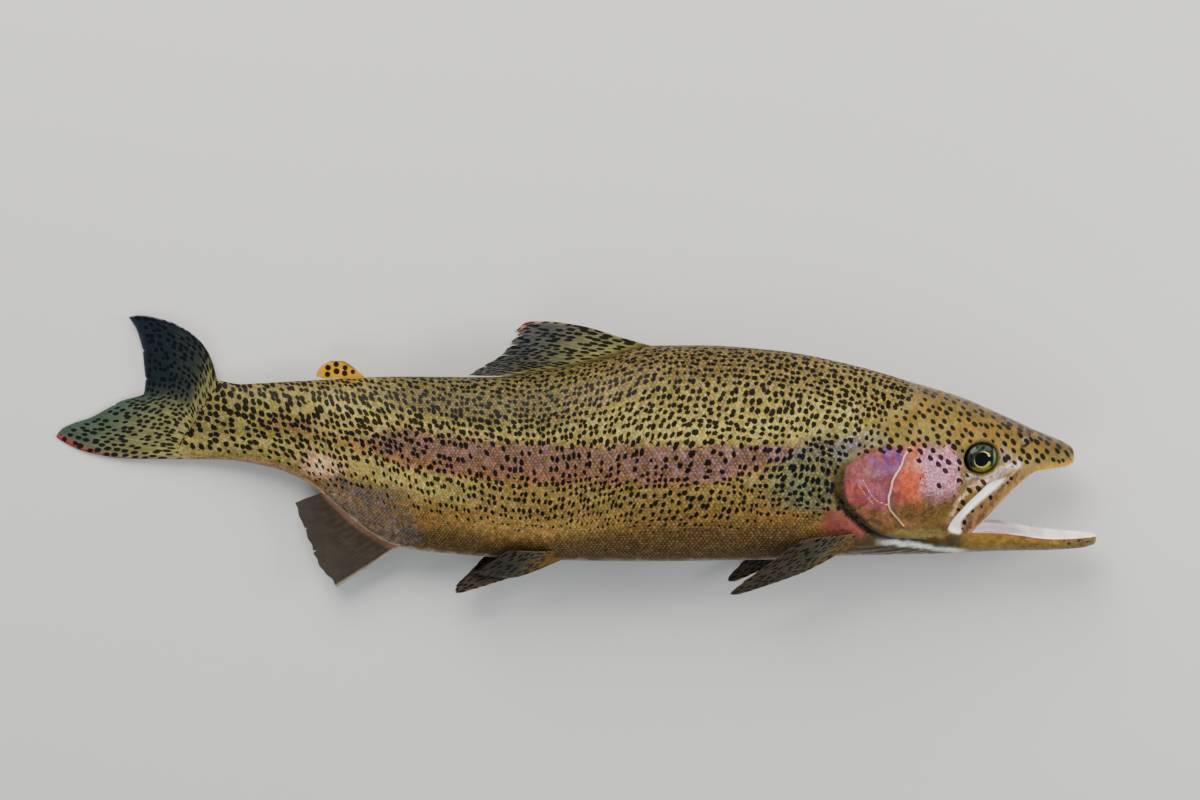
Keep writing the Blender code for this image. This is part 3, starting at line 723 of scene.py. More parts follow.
@dataclass
class Skin:
    """The one skin over head, jaws and trunk, with the mouth open right into the throat.

    It is welded of four grids whose rows are sections: the upper outside, the lower
    outside, the palate and the floor of the mouth.
    """

    form: Form
    over: int = 231
    under: int = 65
    inside: int = 61
    inset: float = 0.3
    fine_end: float = 152.0
    throat_end: float = 100.0
    gullet: tuple[float, float] = (-38.0, 0.0)
    snout: tuple[float, float, float] = (-0.05, -4.0, 0.0)
    jaw_tip: tuple[float, float, float] = (-15.05, -54.1, 0.0)

    def __post_init__(self) -> None:
        """Chooses the stations of the sections."""
        corner = HEAD.corner[0]
        self.upper = np.concatenate([[0.0, 0.15, 0.4, 0.8], np.linspace(1.4, corner, 76)])
        self.lower = np.concatenate([[-15.0, -14.9, -14.6, -14.1], np.linspace(-13.4, corner, 82)])
        fine = np.linspace(corner, self.fine_end, 101)[1:]
        coarse = np.linspace(self.fine_end, self.form.stalk_end, 64)[1:]
        self.trunk = np.concatenate([fine, coarse])
        self.throat = np.linspace(corner, self.throat_end, 15)[1:]
        self.corner_share = self.form.share_at(*HEAD.corner)

    def upper_outside(self) -> Array:
        """Sections from the left edge over the back to the right edge, snout to tail."""
        form, t = self.form, np.linspace(-1, 1, self.over)
        edge = curve(HEAD.upper_edge, self.upper) + 0.8 * smooth(66, 60, self.upper)
        limit = np.array([form.share_at(s, h) for s, h in zip(self.upper, edge)])
        limit = np.concatenate([limit, np.full(len(self.trunk), self.corner_share)])
        station = np.concatenate([self.upper, self.trunk])
        return form.flank(station[:, None], limit[:, None] * np.abs(t), np.sign(t))

    def lower_outside(self) -> Array:
        """Sections from the right edge under the belly to the left, jaw tip to tail."""
        t = np.linspace(-1, 1, self.under)
        share, hand = 1 - np.abs(t) * (1 - self.corner_share), -np.sign(t)
        body = self.form.flank(np.concatenate([self.lower, self.trunk])[:, None], share, hand)
        rim, low, wide = self.jaw_sizes(self.lower[:, None])
        turn = (1 - np.abs(t)) * 0.5 * math.pi
        height = rim - 0.5 - (rim - 0.5 - low) * np.sin(turn) ** 1.1
        side = wide * np.cos(turn) ** 0.8 * hand
        hull = np.stack(np.broadcast_arrays(self.lower[:, None], height, side), -1)
        blend = smooth(40, HEAD.corner[0], self.lower)[:, None, None]
        body[: len(self.lower)] = hull * (1 - blend) + body[: len(self.lower)] * blend
        return body

    def jaw_sizes(self, station: Array) -> tuple[Array, ...]:
        """Height of the lower jaw's rim, height of its underside, and its half width."""
        lines = (HEAD.lower_rim, HEAD.lower_bottom, HEAD.lower_width)
        return tuple(curve(line, station) for line in lines)

    def inner(
        self, station: Array, controls: Sequence[tuple[Array, Array]], first: Array, last: Array
    ) -> Array:
        """An inner wall: sections through mirrored control points, from edge to edge.

        Args:
            station: Stations of the sections.
            controls: (height, side) of the control points after the edge, side positive.
            first: The outside's points along the edge where the sections start.
            last: The same where they end.

        Returns:
            Points of the wall, carried on into the throat, where the section closes.
        """
        hand = np.sign(first[:, 2])
        points = [first[:, 1:]]
        points += [np.stack(np.broadcast_arrays(h, w * hand), -1) for h, w in controls]
        points += [np.stack([p[:, 0], -p[:, 1]], -1) for p in points[-2:0:-1]] + [last[:, 1:]]
        weights = spline_share(len(points), self.inside)
        flat = np.einsum("kc,csx->skx", weights, np.array(points))
        flat[:, 0], flat[:, -1] = first[:, 1:], last[:, 1:]
        deep = (self.throat - HEAD.corner[0]) / (self.throat[-1] - HEAD.corner[0])
        shrink = 1 - 0.17 * smooth(0, 0.16, deep) - 0.78 * deep**1.6
        middle = np.array(self.gullet)
        back = middle + (flat[-1] - middle) * shrink[:, None, None]
        place = np.concatenate([flat, back])
        along = np.concatenate([station, self.throat])[:, None, None]
        return np.concatenate([np.broadcast_to(along, (*place.shape[:2], 1)), place], -1)

    def palate(self, edges: Array) -> Array:
        """The upper jaw's inner wall, from its right edge up over the vault to its left."""
        left, right = edges[: len(self.upper), 0], edges[: len(self.upper), -1]
        edge, side = right[:, 1], right[:, 2]
        roof = curve(HEAD.palate, self.upper)
        wall = HEAD.thickness(HEAD.upper_wall, side)
        lip = 1.1 * smooth(66, 60, self.upper)
        controls = [
            (edge - lip, side - 0.15 * wall), (edge - lip, side - 0.85 * wall),
            (edge + 1.2, side - 1.15 * wall), (0.5 * (edge + roof), 0.92 * (side - wall)),
            (roof - 0.15 * (roof - edge), 0.72 * (side - wall)), (roof, 0.3 * side),
            (roof, 0 * side),
        ]
        return self.inner(self.upper, controls, right, left)

    def floor(self, edges: Array) -> Array:
        """The lower jaw's inner wall, from its left rim down the trough to its right."""
        right, left = edges[: len(self.lower), 0], edges[: len(self.lower), -1]
        rim, low, wide = self.jaw_sizes(self.lower)
        rim = np.minimum(rim, right[:, 1] + 0.5)
        wall = HEAD.thickness(HEAD.lower_wall, wide)
        depth = 0.62 * (rim - low)
        controls = [
            (rim + 0.3, wide - 0.15 * wall), (rim + 0.2, wide - 0.85 * wall),
            (rim - 0.3 * depth, wide - 1.05 * wall), (rim - 0.7 * depth, 0.9 * (wide - wall)),
            (rim - depth, 0.55 * (wide - wall)), (rim - depth, 0.2 * wide),
            (rim - depth, 0 * wide),
        ]
        return self.inner(self.lower, controls, left, right)

    @staticmethod
    def arc(points: Array) -> Array:
        """Distance of each point from the middle of its section, + on the right."""
        step = np.linalg.norm(np.diff(points[..., 1:], axis=1), axis=2)
        along = np.concatenate([np.zeros((len(points), 1)), np.cumsum(step, axis=1)], axis=1)
        middle = along[:, points.shape[1] // 2][:, None]
        return np.abs(along - middle) * np.sign(points[..., 2])

    def build(self) -> tuple[Mesh, Mesh]:
        """Works out the skin.

        Returns:
            The skin in fish measures without detail, and with it.
        """
        over, under = self.upper_outside(), self.lower_outside()
        below = self.form.half_girth(np.maximum(under[:, :1, 0], HEAD.corner[0]))
        turn = self.arc(under)
        turn = np.sign(turn) * (below - np.abs(turn))
        end = (*(0.5 * (over[-1, 0] + over[-1, self.over // 2])[:2]), 0.0)
        deepest = (self.throat_end + 0.4, *self.gullet)
        grids = []
        for points, turned, first, last, outer in (
            (over, self.arc(over), self.snout, end, 1.0),
            (under, turn, self.jaw_tip, end, 1.0),
            (self.palate(over), None, self.snout, deepest, 0.0),
            (self.floor(under), None, self.jaw_tip, deepest, 0.0),
        ):
            ends = [np.broadcast_to(np.array(p), (1, points.shape[1], 3)) for p in (first, last)]
            closed = np.concatenate([ends[0], points, ends[1]])
            if turned is None:
                turned = np.zeros(points.shape[:2])
            turned = np.concatenate([turned[:1], turned, turned[-1:]])
            grids.append(Mesh.grid(closed, outer=np.full(closed.shape[:2], outer), turn=turned))
        plain = Mesh.join(grids).weld()
        station, height = plain.points[:, 0], plain.points[:, 1]
        scaled = smooth(-1.0, 2.0, station - curve(HEAD.scale_edge, height))
        raised = plain.values["outer"] * (relief(station, height) - self.inset * scaled)
        points = plain.points + plain.normals() * raised[:, None]
        return plain, Mesh(points, plain.faces, dict(plain.values))


# ---- colours
class Hue(Enum):
    """The fish's colours, as 0 to 255 per channel."""

    BACK = (81, 70, 42)
    SHOULDER = (108, 96, 60)
    OLIVE = (125, 112, 66)
    YELLOW_GREEN = (143, 134, 79)
    MAUVE = (80, 51, 59)
    LILAC = (120, 87, 99)
    RUST = (122, 76, 42)
    GOLD_BROWN = (106, 79, 41)
    # Painted shade on the lower belly.
    PAINTED_BELLY_SHADE = (63, 48, 32)
    PALE_BELLY = (181, 169, 155)
    SLATE = (50, 53, 66)
    PINK_TAN = (164, 124, 101)
    HEAD_GOLD = (113, 90, 36)
    CROWN = (73, 57, 30)
    LIP = (173, 126, 29)
    CHEEK = (170, 104, 134)
    DARK_OLIVE = (60, 51, 26)
    ORANGE = (178, 73, 52)
    ROSE = (126, 59, 70)
    VIOLET = (92, 62, 124)
    BLUE_SILVER = (114, 129, 143)
    WHITE = (252, 249, 249)
    BONE = (130, 96, 62)
    GUM = (113, 57, 91)
    FLESH_RED = (135, 51, 45)
    JAW_YELLOW = (146, 113, 38)
    JAW_GREY = (73, 73, 53)
    CREAM = (238, 198, 158)
    SPOT = (10, 11, 15)
    THROAT = (160, 97, 104)
    # Dark grey of the tail fin, which also stands for painted shade on its upper lobe.
    TAIL_GREY_AND_SHADE = (20, 29, 33)
    FIN_OLIVE = (66, 70, 53)
    FIN_BROWN = (59, 52, 44)
    SEA_GREEN = (62, 84, 72)
    LAVENDER = (135, 119, 121)
    MOSS = (60, 62, 38)
    LOW_OLIVE = (106, 92, 53)
    LOW_YELLOW = (121, 108, 64)
    GOLD = (159, 128, 75)
    SUN = (170, 157, 92)
    PEARL = (226, 204, 212)

    @property
    def light(self) -> Array:
        """The colour as linear light."""
        return np.array(linear(*self.value)[:3])


Layer = tuple[Hue, Array, float | Array]


@dataclass
class Paint:
    """A coat of paint on a set of points, laid on in layers."""

    colour: Array

    @staticmethod
    def of(hue: Hue, count: int) -> Paint:
        """Starts with one colour all over."""
        return Paint(np.tile(hue.light, (count, 1)))

    @staticmethod
    def banded(at: Array, steps: Sequence[tuple[float, Hue]]) -> Paint:
        """Starts with a run of colours, blended evenly between their places."""
        places = [p for p, _ in steps]
        runs = [np.interp(at, places, [h.light[k] for _, h in steps]) for k in range(3)]
        return Paint(np.stack(runs, -1))

    def lay(self, *layers: Layer) -> None:
        """Covers with colours in turn, each by its mask of 0 to 1 times its strength."""
        for hue, mask, strength in layers:
            share = np.clip(mask * strength, 0.0, 1.0)[:, None]
            self.colour = self.colour * (1 - share) + hue.light * share


STRIPE_MIDDLE = (
    (90, 12), (144, 9.2), (168, 7), (192, 4.3), (228, -0.5), (311, -0.5), (371, 1.3),
    (407, 7), (431, 12.5), (455, 17), (521, 19),
)
STRIPE_HALF = (
    (118, 0), (136, 3), (144, 4.3), (168, 5.2), (192, 6.6), (228, 11.5), (311, 11.8),
    (371, 11.5), (407, 11), (431, 8), (455, 6), (480, 3.5), (505, 1),
)
# Heights over the middle of the stripe, and the body's colour there; the lowest step is painted
# shade.
BANDS = (
    (-62, Hue.PAINTED_BELLY_SHADE), (-52, Hue.GOLD_BROWN), (-38, Hue.GOLD_BROWN), (-26, Hue.LOW_OLIVE),
    (-17, Hue.LOW_YELLOW), (17, Hue.YELLOW_GREEN), (27, Hue.OLIVE), (44, Hue.SHOULDER),
    (60, Hue.BACK),
)
# Stations, and the height where the painted shade of the belly starts.
BELLY_SHADE_LINE = (170, 225, 300, 340, 380, 410), (-36, -36, -46, -52, -45, -47)
# Heights over the middle of the stripe, and the size of the trunk's spots there.
SPOT_SIZES = (
    (-47, -41, -34, -24, -13, 0, 13, 24, 36, 62),
    (0, 0.6, 0.88, 1.0, 1.1, 1.12, 1.17, 1.18, 1.12, 1.08),
)
# The same heights, and the share of the spots that are left out.
SPOTS_LEFT_OUT = (
    (-46, -36, -24, -14, -8, 8, 14, 24, 62),
    (0.4, 0.12, 0.04, 0.1, 0.28, 0.28, 0.05, 0.0, 0.0),
)
# Dark marks round the nose: station, height and lean in radians.
NOSE_MARKS = ((35.4, 12.6, 0.9), (29.8, 13.2, 1.1), (33.0, 6.4, -0.2))
FAR_FROM_LINE = 9.0


def inside(outline: Points, x: Array, y: Array, soft: float = 1.0) -> Array:
    """How far points are inside an outline, from 0 to 1 over a soft edge of that half width."""
    return smooth(-soft, soft, depth_in(line_through(outline, 80, closed=True), x, y))


def blob(x: Array, y: Array, centre: tuple[float, float], size: tuple[float, float]) -> Array:
    """A soft round patch: 1 in the middle, 0 beyond its edge."""
    return smooth(1.3, 0.6, np.hypot((x - centre[0]) / size[0], (y - centre[1]) / size[1]))


@dataclass
class FleshPaint:
    """Colours and spot sizes of the flesh, used alike for the skin and the scales on it.

    Every mask is a share of 0 to 1 at each point. x and y are the station and the height
    with a soft unevenness, so that no edge of a colour is a clean line.

    Args:
        station: Stations of the points.
        height: Their heights.
        side: Their distance from the middle plane.
        outer: 1 on the outside of the fish, 0 inside its mouth.
    """

    station: Array
    height: Array
    side: Array
    outer: Array

    def __post_init__(self) -> None:
        """Works out the distances and masks that several regions share."""
        s, h = self.station, self.height
        self.x = x = s + 1.4 * waves(s, h, 14.0, 21) + 0.6 * waves(s, h, 4.0, 22)
        self.y = y = h + 1.2 * waves(h, s, 12.0, 23) + 0.6 * waves(h, s, 4.0, 24)
        self.above = y - curve(STRIPE_MIDDLE, s)
        self.low = h - curve(Form.belly, np.maximum(s, HEAD.corner[0]))
        self.vent = window(s, 392, 408, 446, 464)
        self.border = s - curve(HEAD.scale_edge, h)
        self.head = smooth(0.0, -14.0, self.border)
        self.cover = inside(HEAD.opercle, x, y, 1.4) * smooth(97, 103, x)
        self.band = inside(HEAD.orange_band, x, y, 3.6)
        self.slit = gap_to(line_through(HEAD.gill_slit, 60), s, h)
        self.ring = HEAD.eye_ring(s, h)
        self.eye_line = gap_to(line_through(HEAD.eye_line, 30), x, y)
        self.bone = inside(HEAD.maxilla, s, h, 0.9) * smooth(25, 40, s)
        self.sheet = inside(HEAD.membrane, s, h, 0.8)
        self.edge = gap_to(line_through(HEAD.upper_edge, 90), s, h)
        self.rim = gap_to(line_through(HEAD.lower_rim, 90), s, h)
        self.jaw = smooth(-43, -46.5, h) * smooth(76, 58, s)

    def blob(self, x: float, y: float, wide: float, tall: float) -> Array:
        """A soft round patch round a place, with its half width and half height."""
        return blob(self.x, self.y, (x, y), (wide, tall))

    def within(self, outline: Points, soft: float) -> Array:
        """How far points are inside an outline with an uneven edge."""
        return inside(outline, self.x, self.y, soft)

    def mottle(self, low: float, high: float, size: float, seed: int) -> Array:
        """Patches of a size, where the unevenness rises from low to high."""
        return smooth(low, high, waves(self.x, self.y, size, seed))

    def values(self) -> dict[str, Array]:
        """Paints every region.

        Returns:
            tint, the linear colour; marks, the size of the spots on the head and on the
            trunk and the amount of fine flecks; line, the distance to the pale lines on the
            gill cover; bare, the share of the spots that are left out; and pearls, the
            amount of pearly grain.
        """
        paint = Paint.banded(self.above * (1 + 0.25 * smooth(330, 480, self.station)), BANDS)
        for region in (
            self.shades, self.stripe, self.trunk, self.belly, self.head_sides, self.cheek,
            self.gill_cover, self.gill_rim, self.throat_streak, self.eye_surround,
            self.jaw_bone, self.lips,
        ):
            paint.lay(*region())
        lining = Paint.of(Hue.WHITE, len(self.station))
        lining.lay(*self.lining())
        out = self.outer[:, None]
        return {
            "tint": paint.colour * out + lining.colour * (1 - out),
            "marks": np.stack([self.head_spots(), self.trunk_spots(), self.flecks()], -1),
            "line": self.gill_lines(), "bare": self.left_out(), "pearls": self.pearls(),
        }

    def shades(self) -> list[Layer]:
        """Painted highlight, a gold patch that is partly painted light, and painted belly shade."""
        s, y = self.station, self.y
        dark = np.interp(s, *BELLY_SHADE_LINE)
        return [
            # A painted highlight high on the front flank.
            (Hue.SUN, self.blob(215, 30, 80, 17), 0.3),
            # A golden patch, partly the fish's own colour and partly painted light.
            (Hue.GOLD, self.blob(325, -33, 52, 18), 0.42),
            # Painted shade along the lower belly.
            (Hue.PAINTED_BELLY_SHADE, smooth(dark + 6, dark - 7, y) * window(s, 150, 178, 415, 440), 0.9),
        ]

    def stripe(self) -> list[Layer]:
        """The red stripe with its rusty border and lilac patches."""
        s, h, v = self.station, self.height, self.above
        half = curve(STRIPE_HALF, s)
        rough = np.abs(v + 1.1 * waves(s, h, 6.0, 34))
        core = smooth(half + 2.2, half - 3.4, rough) * smooth(500, 440, s)
        uneven = waves(s, h * 1.6, 9.0, 31) + 0.5 * waves(s, h, 30.0, 32)
        patches = smooth(0.0, 0.9, uneven + 0.6 * smooth(250, 170, s))
        return [
            (Hue.RUST, bell(rough, half, 4.0) * (half > 2), 0.3 + 0.4 * smooth(3, -3, v)),
            (Hue.MAUVE, core, 0.88),
            (Hue.RUST, core * smooth(1, -10, v) * smooth(230, 290, s), 0.35),
            (Hue.LILAC, core * patches, 0.25 + 0.45 * smooth(300, 220, s)),
        ]

    def trunk(self) -> list[Layer]:
        """The trunk over and under the stripe, and the blue-green shoulder."""
        s, v = self.station, self.above
        return [
            (Hue.MOSS, window(s, 270, 330, 400, 430) * smooth(10, 26, v), 0.75),
            (Hue.MOSS, smooth(430, 480, s), 0.3),
            (Hue.FIN_OLIVE, smooth(495, 545, s), 0.5),
            (Hue.DARK_OLIVE, window(v, -42, -32, -16, -9) * window(s, 190, 230, 360, 400), 0.3),
            (Hue.SUN, smooth(345, 395, s) * window(v, -36, -24, -15, -9), 0.42),
            (Hue.SUN, self.blob(437, 20, 26, 12), 0.4),
            (Hue.GOLD_BROWN, self.blob(205, -27, 70, 14), 0.45),
            (Hue.SLATE, self.blob(420, -24, 16, 6), 0.5),
            (Hue.DARK_OLIVE, smooth(16, 40, v + 0.1 * np.maximum(s - 300, 0)), 0.28),
            (Hue.SEA_GREEN, self.blob(160, -10, 27, 22), 0.72),
            (Hue.SEA_GREEN, self.blob(150, 12, 15, 10), 0.35),
            (Hue.BLUE_SILVER, self.blob(140, 6, 9, 7), 0.28),
            (Hue.DARK_OLIVE, self.blob(152, -6, 12, 20), 0.3),
        ]

    def belly(self) -> list[Layer]:
        """Slate and lavender over the anal fin, its pale root, and the pale belly."""
        s, low = self.station, self.low
        soft = 0.7 + 0.4 * waves(self.x, self.y, 7.0, 33)
        dots = smooth(0.5, 0.95, np.sin(s * 1.15)) * self.vent
        wavy = low + 0.9 * waves(s, self.side, 16.0, 35) + 0.35 * waves(s, self.side, 5.0, 36)
        return [
            (Hue.SLATE, bell(low, 23.0, 9.0) * self.vent * soft, 0.95),
            (Hue.LAVENDER, bell(low, 9.0, 8.0) * self.vent * soft, 0.5),
            (Hue.SLATE, self.blob(402, -49, 9, 5), 0.6),
            (Hue.PINK_TAN, self.blob(457, -9, 15, 9) * (0.8 + 0.2 * soft), 0.9),
            (Hue.CREAM, self.blob(457, -9, 11, 6), 0.35),
            (Hue.PINK_TAN, smooth(3.8, 1.4, low) * smooth(400, 412, s), 0.85),
            (Hue.SPOT, bell(low, 3.6, 0.9) * dots, 0.7),
            (Hue.PALE_BELLY, smooth(4.6, -0.6, wavy) * window(s, 66, 100, 440, 475), 0.85),
        ]

    def head_sides(self) -> list[Layer]:
        """The head: gold sides, a dark crown, a yellow lip, marks round the nose and a painted
        highlight on the nostril.
        """
        s, h, x, y, head = self.station, self.height, self.x, self.y, self.head
        top = curve(Form.back, s) - h
        lip = gap_to(line_through(HEAD.upper_edge[:5], 40), s, h)
        rust = self.blob(66, 16, 16, 5) * (0.5 + 0.5 * waves(x, y, 8.0, 49))
        layers = [
            (Hue.HEAD_GOLD, head * smooth(-6, 6, y), 0.8),
            (Hue.CROWN, smooth(17, 1, top) * smooth(150, 80, s), 0.85),
            (Hue.OLIVE, self.blob(96, 14, 34, 8), 0.6),
            (Hue.HEAD_GOLD, self.blob(116, 27, 15, 13), 0.5),
            (Hue.DARK_OLIVE, self.blob(116, 27, 17, 15), 0.2),
            (Hue.RUST, rust, 0.5),
            (Hue.LIP, head * self.mottle(0.2, 1.1, 10.0, 50) * smooth(-2, 6, y), 0.22),
            (Hue.DARK_OLIVE, head * self.mottle(0.1, 1.0, 6.0, 60) * smooth(-2, 8, y), 0.3),
            (Hue.BLUE_SILVER, self.blob(131, 14, 14, 5), 0.2),
            (Hue.DARK_OLIVE, smooth(-30, -44, y) * head, 0.55),
            (Hue.LIP, smooth(4.6, 1.0, lip) * window(s, -3, 2, 20, 40), 0.9),
        ]
        for mark_x, mark_y, lean in NOSE_MARKS:
            ahead, up, c, n = s - mark_x, h - mark_y, math.cos(lean), math.sin(lean)
            away = np.hypot((ahead * c + up * n) / 2.6, (up * c - ahead * n) / 1.1)
            layers.append((Hue.SPOT, smooth(1.1, 0.75, away), 0.9))
        # The pale patch on the nostril is a painted highlight.
        return [*layers, (Hue.BLUE_SILVER, blob(s, h, (32.2, 9.8), (2.6, 1.5)), 0.3)]

    def cheek(self) -> list[Layer]:
        """The cheek: pink above, mauve and then dark olive below."""
        x, y = self.x, self.y
        mottled = 0.72 + 0.42 * waves(x, y, 4.5, 44) + 0.25 * waves(x, y, 1.8, 62)
        wide, near = self.within(HEAD.cheek, 5.0), self.within(HEAD.cheek, 4.5)
        pink = near * smooth(-29, -10, y) * (0.55 + 0.45 * mottled)
        return [
            (Hue.DARK_OLIVE, wide * smooth(-12, -30, y) * mottled, 0.8),
            (Hue.MAUVE, near * smooth(-36, -18, y) * mottled, 0.75),
            (Hue.CHEEK, pink, 0.95),
            (Hue.VIOLET, self.blob(94, 6, 8, 3), 0.3),
        ]

    def gill_cover(self) -> list[Layer]:
        """The gill cover: rose, with an orange band in front, violet clouds, dark below."""
        x, y, cover, band = self.x, self.y, self.cover, self.band
        brown = smooth(-23, -36, y + 4 * waves(x, y, 9, 46))
        return [
            (Hue.ROSE, cover, 0.94),
            (Hue.ORANGE, band * smooth(-40, -16, y), 0.9),
            (Hue.PINK_TAN, band * self.blob(101, 3, 6, 9), 0.35),
            (Hue.RUST, band * smooth(-14, -30, y), 0.75),
            (Hue.VIOLET, self.blob(116, 0, 10, 9) * self.mottle(-1.3, 0.4, 9, 41), 0.85),
            (Hue.LILAC, self.blob(129, -6, 9, 9) * self.mottle(-0.8, 0.7, 7, 45), 0.7),
            (Hue.VIOLET, self.blob(123, -19, 13, 6) * self.mottle(-0.8, 0.9, 8, 42), 0.5),
            (Hue.ORANGE, self.blob(134, -20, 7, 9), 0.25),
            (Hue.ROSE, cover * self.mottle(0.1, 0.9, 5.0, 63), 0.4),
            (Hue.MAUVE, self.blob(110, -26, 7, 9), 0.4),
            (Hue.GOLD_BROWN, cover * brown, 0.8),
            (Hue.DARK_OLIVE, cover * self.mottle(-0.3, 0.7, 7, 43) * smooth(-18, -34, y), 0.75),
            (Hue.DARK_OLIVE, band * smooth(-22, -36, y), 0.6),
            (Hue.OLIVE, self.within(HEAD.cover_foot, 1.6), 0.6),
        ]

    def gill_rim(self) -> list[Layer]:
        """Painted shade in the gill slit and under the gill cover's edge, and the red flesh below
        it.
        """
        s, h, slit = self.station, self.height, self.slit
        cut = np.abs(depth_in(line_through(HEAD.opercle, 120, closed=True), s, h))
        behind = smooth(112, 124, s) * (0.35 + 0.65 * smooth(4, -10, h))
        red = self.within(HEAD.red_flesh, 4.0)
        shade = smooth(2.5, 0.9, slit) * smooth(-12, -26, h) * smooth(88, 100, s)
        return [
            # Painted shade in the gill slit, and under the rear edge of the gill cover.
            (Hue.DARK_OLIVE, smooth(4.2, 1.8, slit) * smooth(98, 112, s) * smooth(6, -10, h), 0.85),
            (Hue.DARK_OLIVE, smooth(3.0, 1.0, cut) * behind, 0.85),
            (Hue.SPOT, smooth(1.5, 0.5, cut) * behind, 0.5),
            (Hue.FLESH_RED, self.within(HEAD.red_flesh, 2.6), 0.72),
            (Hue.THROAT, red * (0.6 + 0.4 * waves(self.x, self.y, 6, 48)), 0.25),
            (Hue.MAUVE, red, 0.3),
            # Black painted shade low in the gill slit.
            (Hue.SPOT, shade, 0.95),
        ]

    def throat_streak(self) -> list[Layer]:
        """The white streak of the throat, drawn in strands, and the dark round it."""
        s, h = self.station, self.height
        streak = gap_to(line_through(HEAD.streak, 40), s, h + 0.5 * waves(s, h, 9.0, 55))
        strands = 0.62 + 0.55 * waves(s * 0.22, h * 2.4, 2.4, 56)
        pale = window(s, 56, 70, 108, 126)
        return [
            (Hue.DARK_OLIVE, bell(streak, 3.4, 2.0) * smooth(60, 70, s), 0.8),
            (Hue.BLUE_SILVER, smooth(3.4, 1.4, streak) * pale * strands, 0.8),
            (Hue.WHITE, smooth(2.2, 0.4, streak) * pale * (0.35 + 0.65 * strands), 0.98),
        ]

    def eye_surround(self) -> list[Layer]:
        """A dark rim to the eye, the pale streak under it with a painted highlight, painted shade
        in the crease below it, and soft greens beside it.
        """
        x, y, ring, line = self.x, self.y, self.ring, self.eye_line
        specks = 0.68 + 0.4 * waves(x, y, 3.0, 47)
        lid, near = smooth(1.1, 1.22, ring), smooth(1.0, 1.2, ring)
        crease = gap_to(line_through(HEAD.eye_crease, 20), x, y)
        return [
            (Hue.DARK_OLIVE, smooth(1.22, 1.0, ring), 0.75),
            (Hue.SPOT, smooth(1.03, 0.95, ring), 0.8),
            (Hue.MAUVE, smooth(4.6, 1.6, line) * lid, 0.55),
            # The pale streak is a silvery fold whose paleness is partly a painted highlight.
            (Hue.CREAM, smooth(5.6, 2.0, line) * lid, 0.3),
            (Hue.PEARL, smooth(4.0, 1.0, line) * lid * specks, 0.7),
            (Hue.LAVENDER, self.blob(46, 1, 5, 5) * near, 0.5),
            (Hue.SEA_GREEN, self.blob(72, 1, 4, 6) * near, 0.45),
            # Painted shade in the crease under the eye.
            (Hue.SPOT, bell(crease, 0, 1.0), 0.5),
        ]

    def jaw_bone(self) -> list[Layer]:
        """The upper jaw bone's plate, and the white skin that unfolds behind it."""
        x, y, bone, sheet = self.x, self.y, self.bone, self.sheet
        fold = gap_to(line_through(HEAD.fold, 40), x, y)
        flesh = smooth(2.6, 0.4, fold) * (0.7 + 0.45 * waves(x, y, 4.0, 61)) * smooth(82, 72, x)
        low = smooth(-20, -32, self.height)
        return [
            (Hue.BONE, bone, 0.85),
            (Hue.MAUVE, bone * low * self.mottle(-0.2, 0.6, 6, 51), 0.7),
            (Hue.DARK_OLIVE, bone * self.mottle(-0.3, 0.7, 4.5, 52), 0.65),
            (Hue.DARK_OLIVE, bell(fold, 4.4, 1.8), 0.3),
            (Hue.CREAM, flesh, 0.55),
            (Hue.WHITE, sheet, 0.97),
            (Hue.SLATE, window(sheet, 0.05, 0.4, 0.5, 0.9), 0.35),
        ]

    def lips(self) -> list[Layer]:
        """The upper lip, the yellow lower jaw with grey tip, mottles and painted shade below, and
        its red rim.
        """
        s, h, x, y, edge, jaw = self.station, self.height, self.x, self.y, self.edge, self.jaw
        gums = 0.7 + 0.4 * waves(x, y, 3, 59)
        pink = smooth(0.2, 0.9, waves(x, y * 1.5, 6, 58)) * smooth(-57, -51, h)
        return [
            (Hue.LIP, smooth(2.0, 0.5, edge) * smooth(30, 20, s), 0.55),
            (Hue.PINK_TAN, smooth(2.2, 0.7, edge) * smooth(24, 34, s) * gums, 0.8),
            (Hue.JAW_YELLOW, jaw, 0.85),
            (Hue.JAW_GREY, jaw * smooth(14, -12, s), 0.75),
            # Painted shade, darker towards the jaw's underside.
            (Hue.DARK_OLIVE, jaw * (0.15 + 0.85 * smooth(-54, -60, h)), 0.75),
            (Hue.GOLD_BROWN, jaw * self.mottle(0.0, 0.8, 9, 53), 0.6),
            (Hue.DARK_OLIVE, jaw * self.mottle(0.0, 0.7, 5, 57) * smooth(66, 20, s), 0.6),
            (Hue.PINK_TAN, jaw * pink, 0.4),
            (Hue.FLESH_RED, bell(self.rim, 0.8, 1.0) * window(s, -12, 4, 50, 66), 0.55),
        ]

    def lining(self) -> list[Layer]:
        """The inside of the mouth: gums along the jaws, pink towards the throat."""
        s, rim = self.station, self.rim
        return [
            (Hue.GUM, smooth(2.2, 1.0, rim) * smooth(30, 44, s), 0.7),
            (Hue.GUM, smooth(2.4, 1.0, self.edge), 0.5),
            (Hue.THROAT, smooth(72, 100, s), 0.8),
            (Hue.CHEEK, smooth(0, 0.9, waves(s, self.side, 11, 54)), 0.4),
            (Hue.CHEEK, bell(rim, 4.0, 2.2) * smooth(10, 34, s), 0.45),
        ]

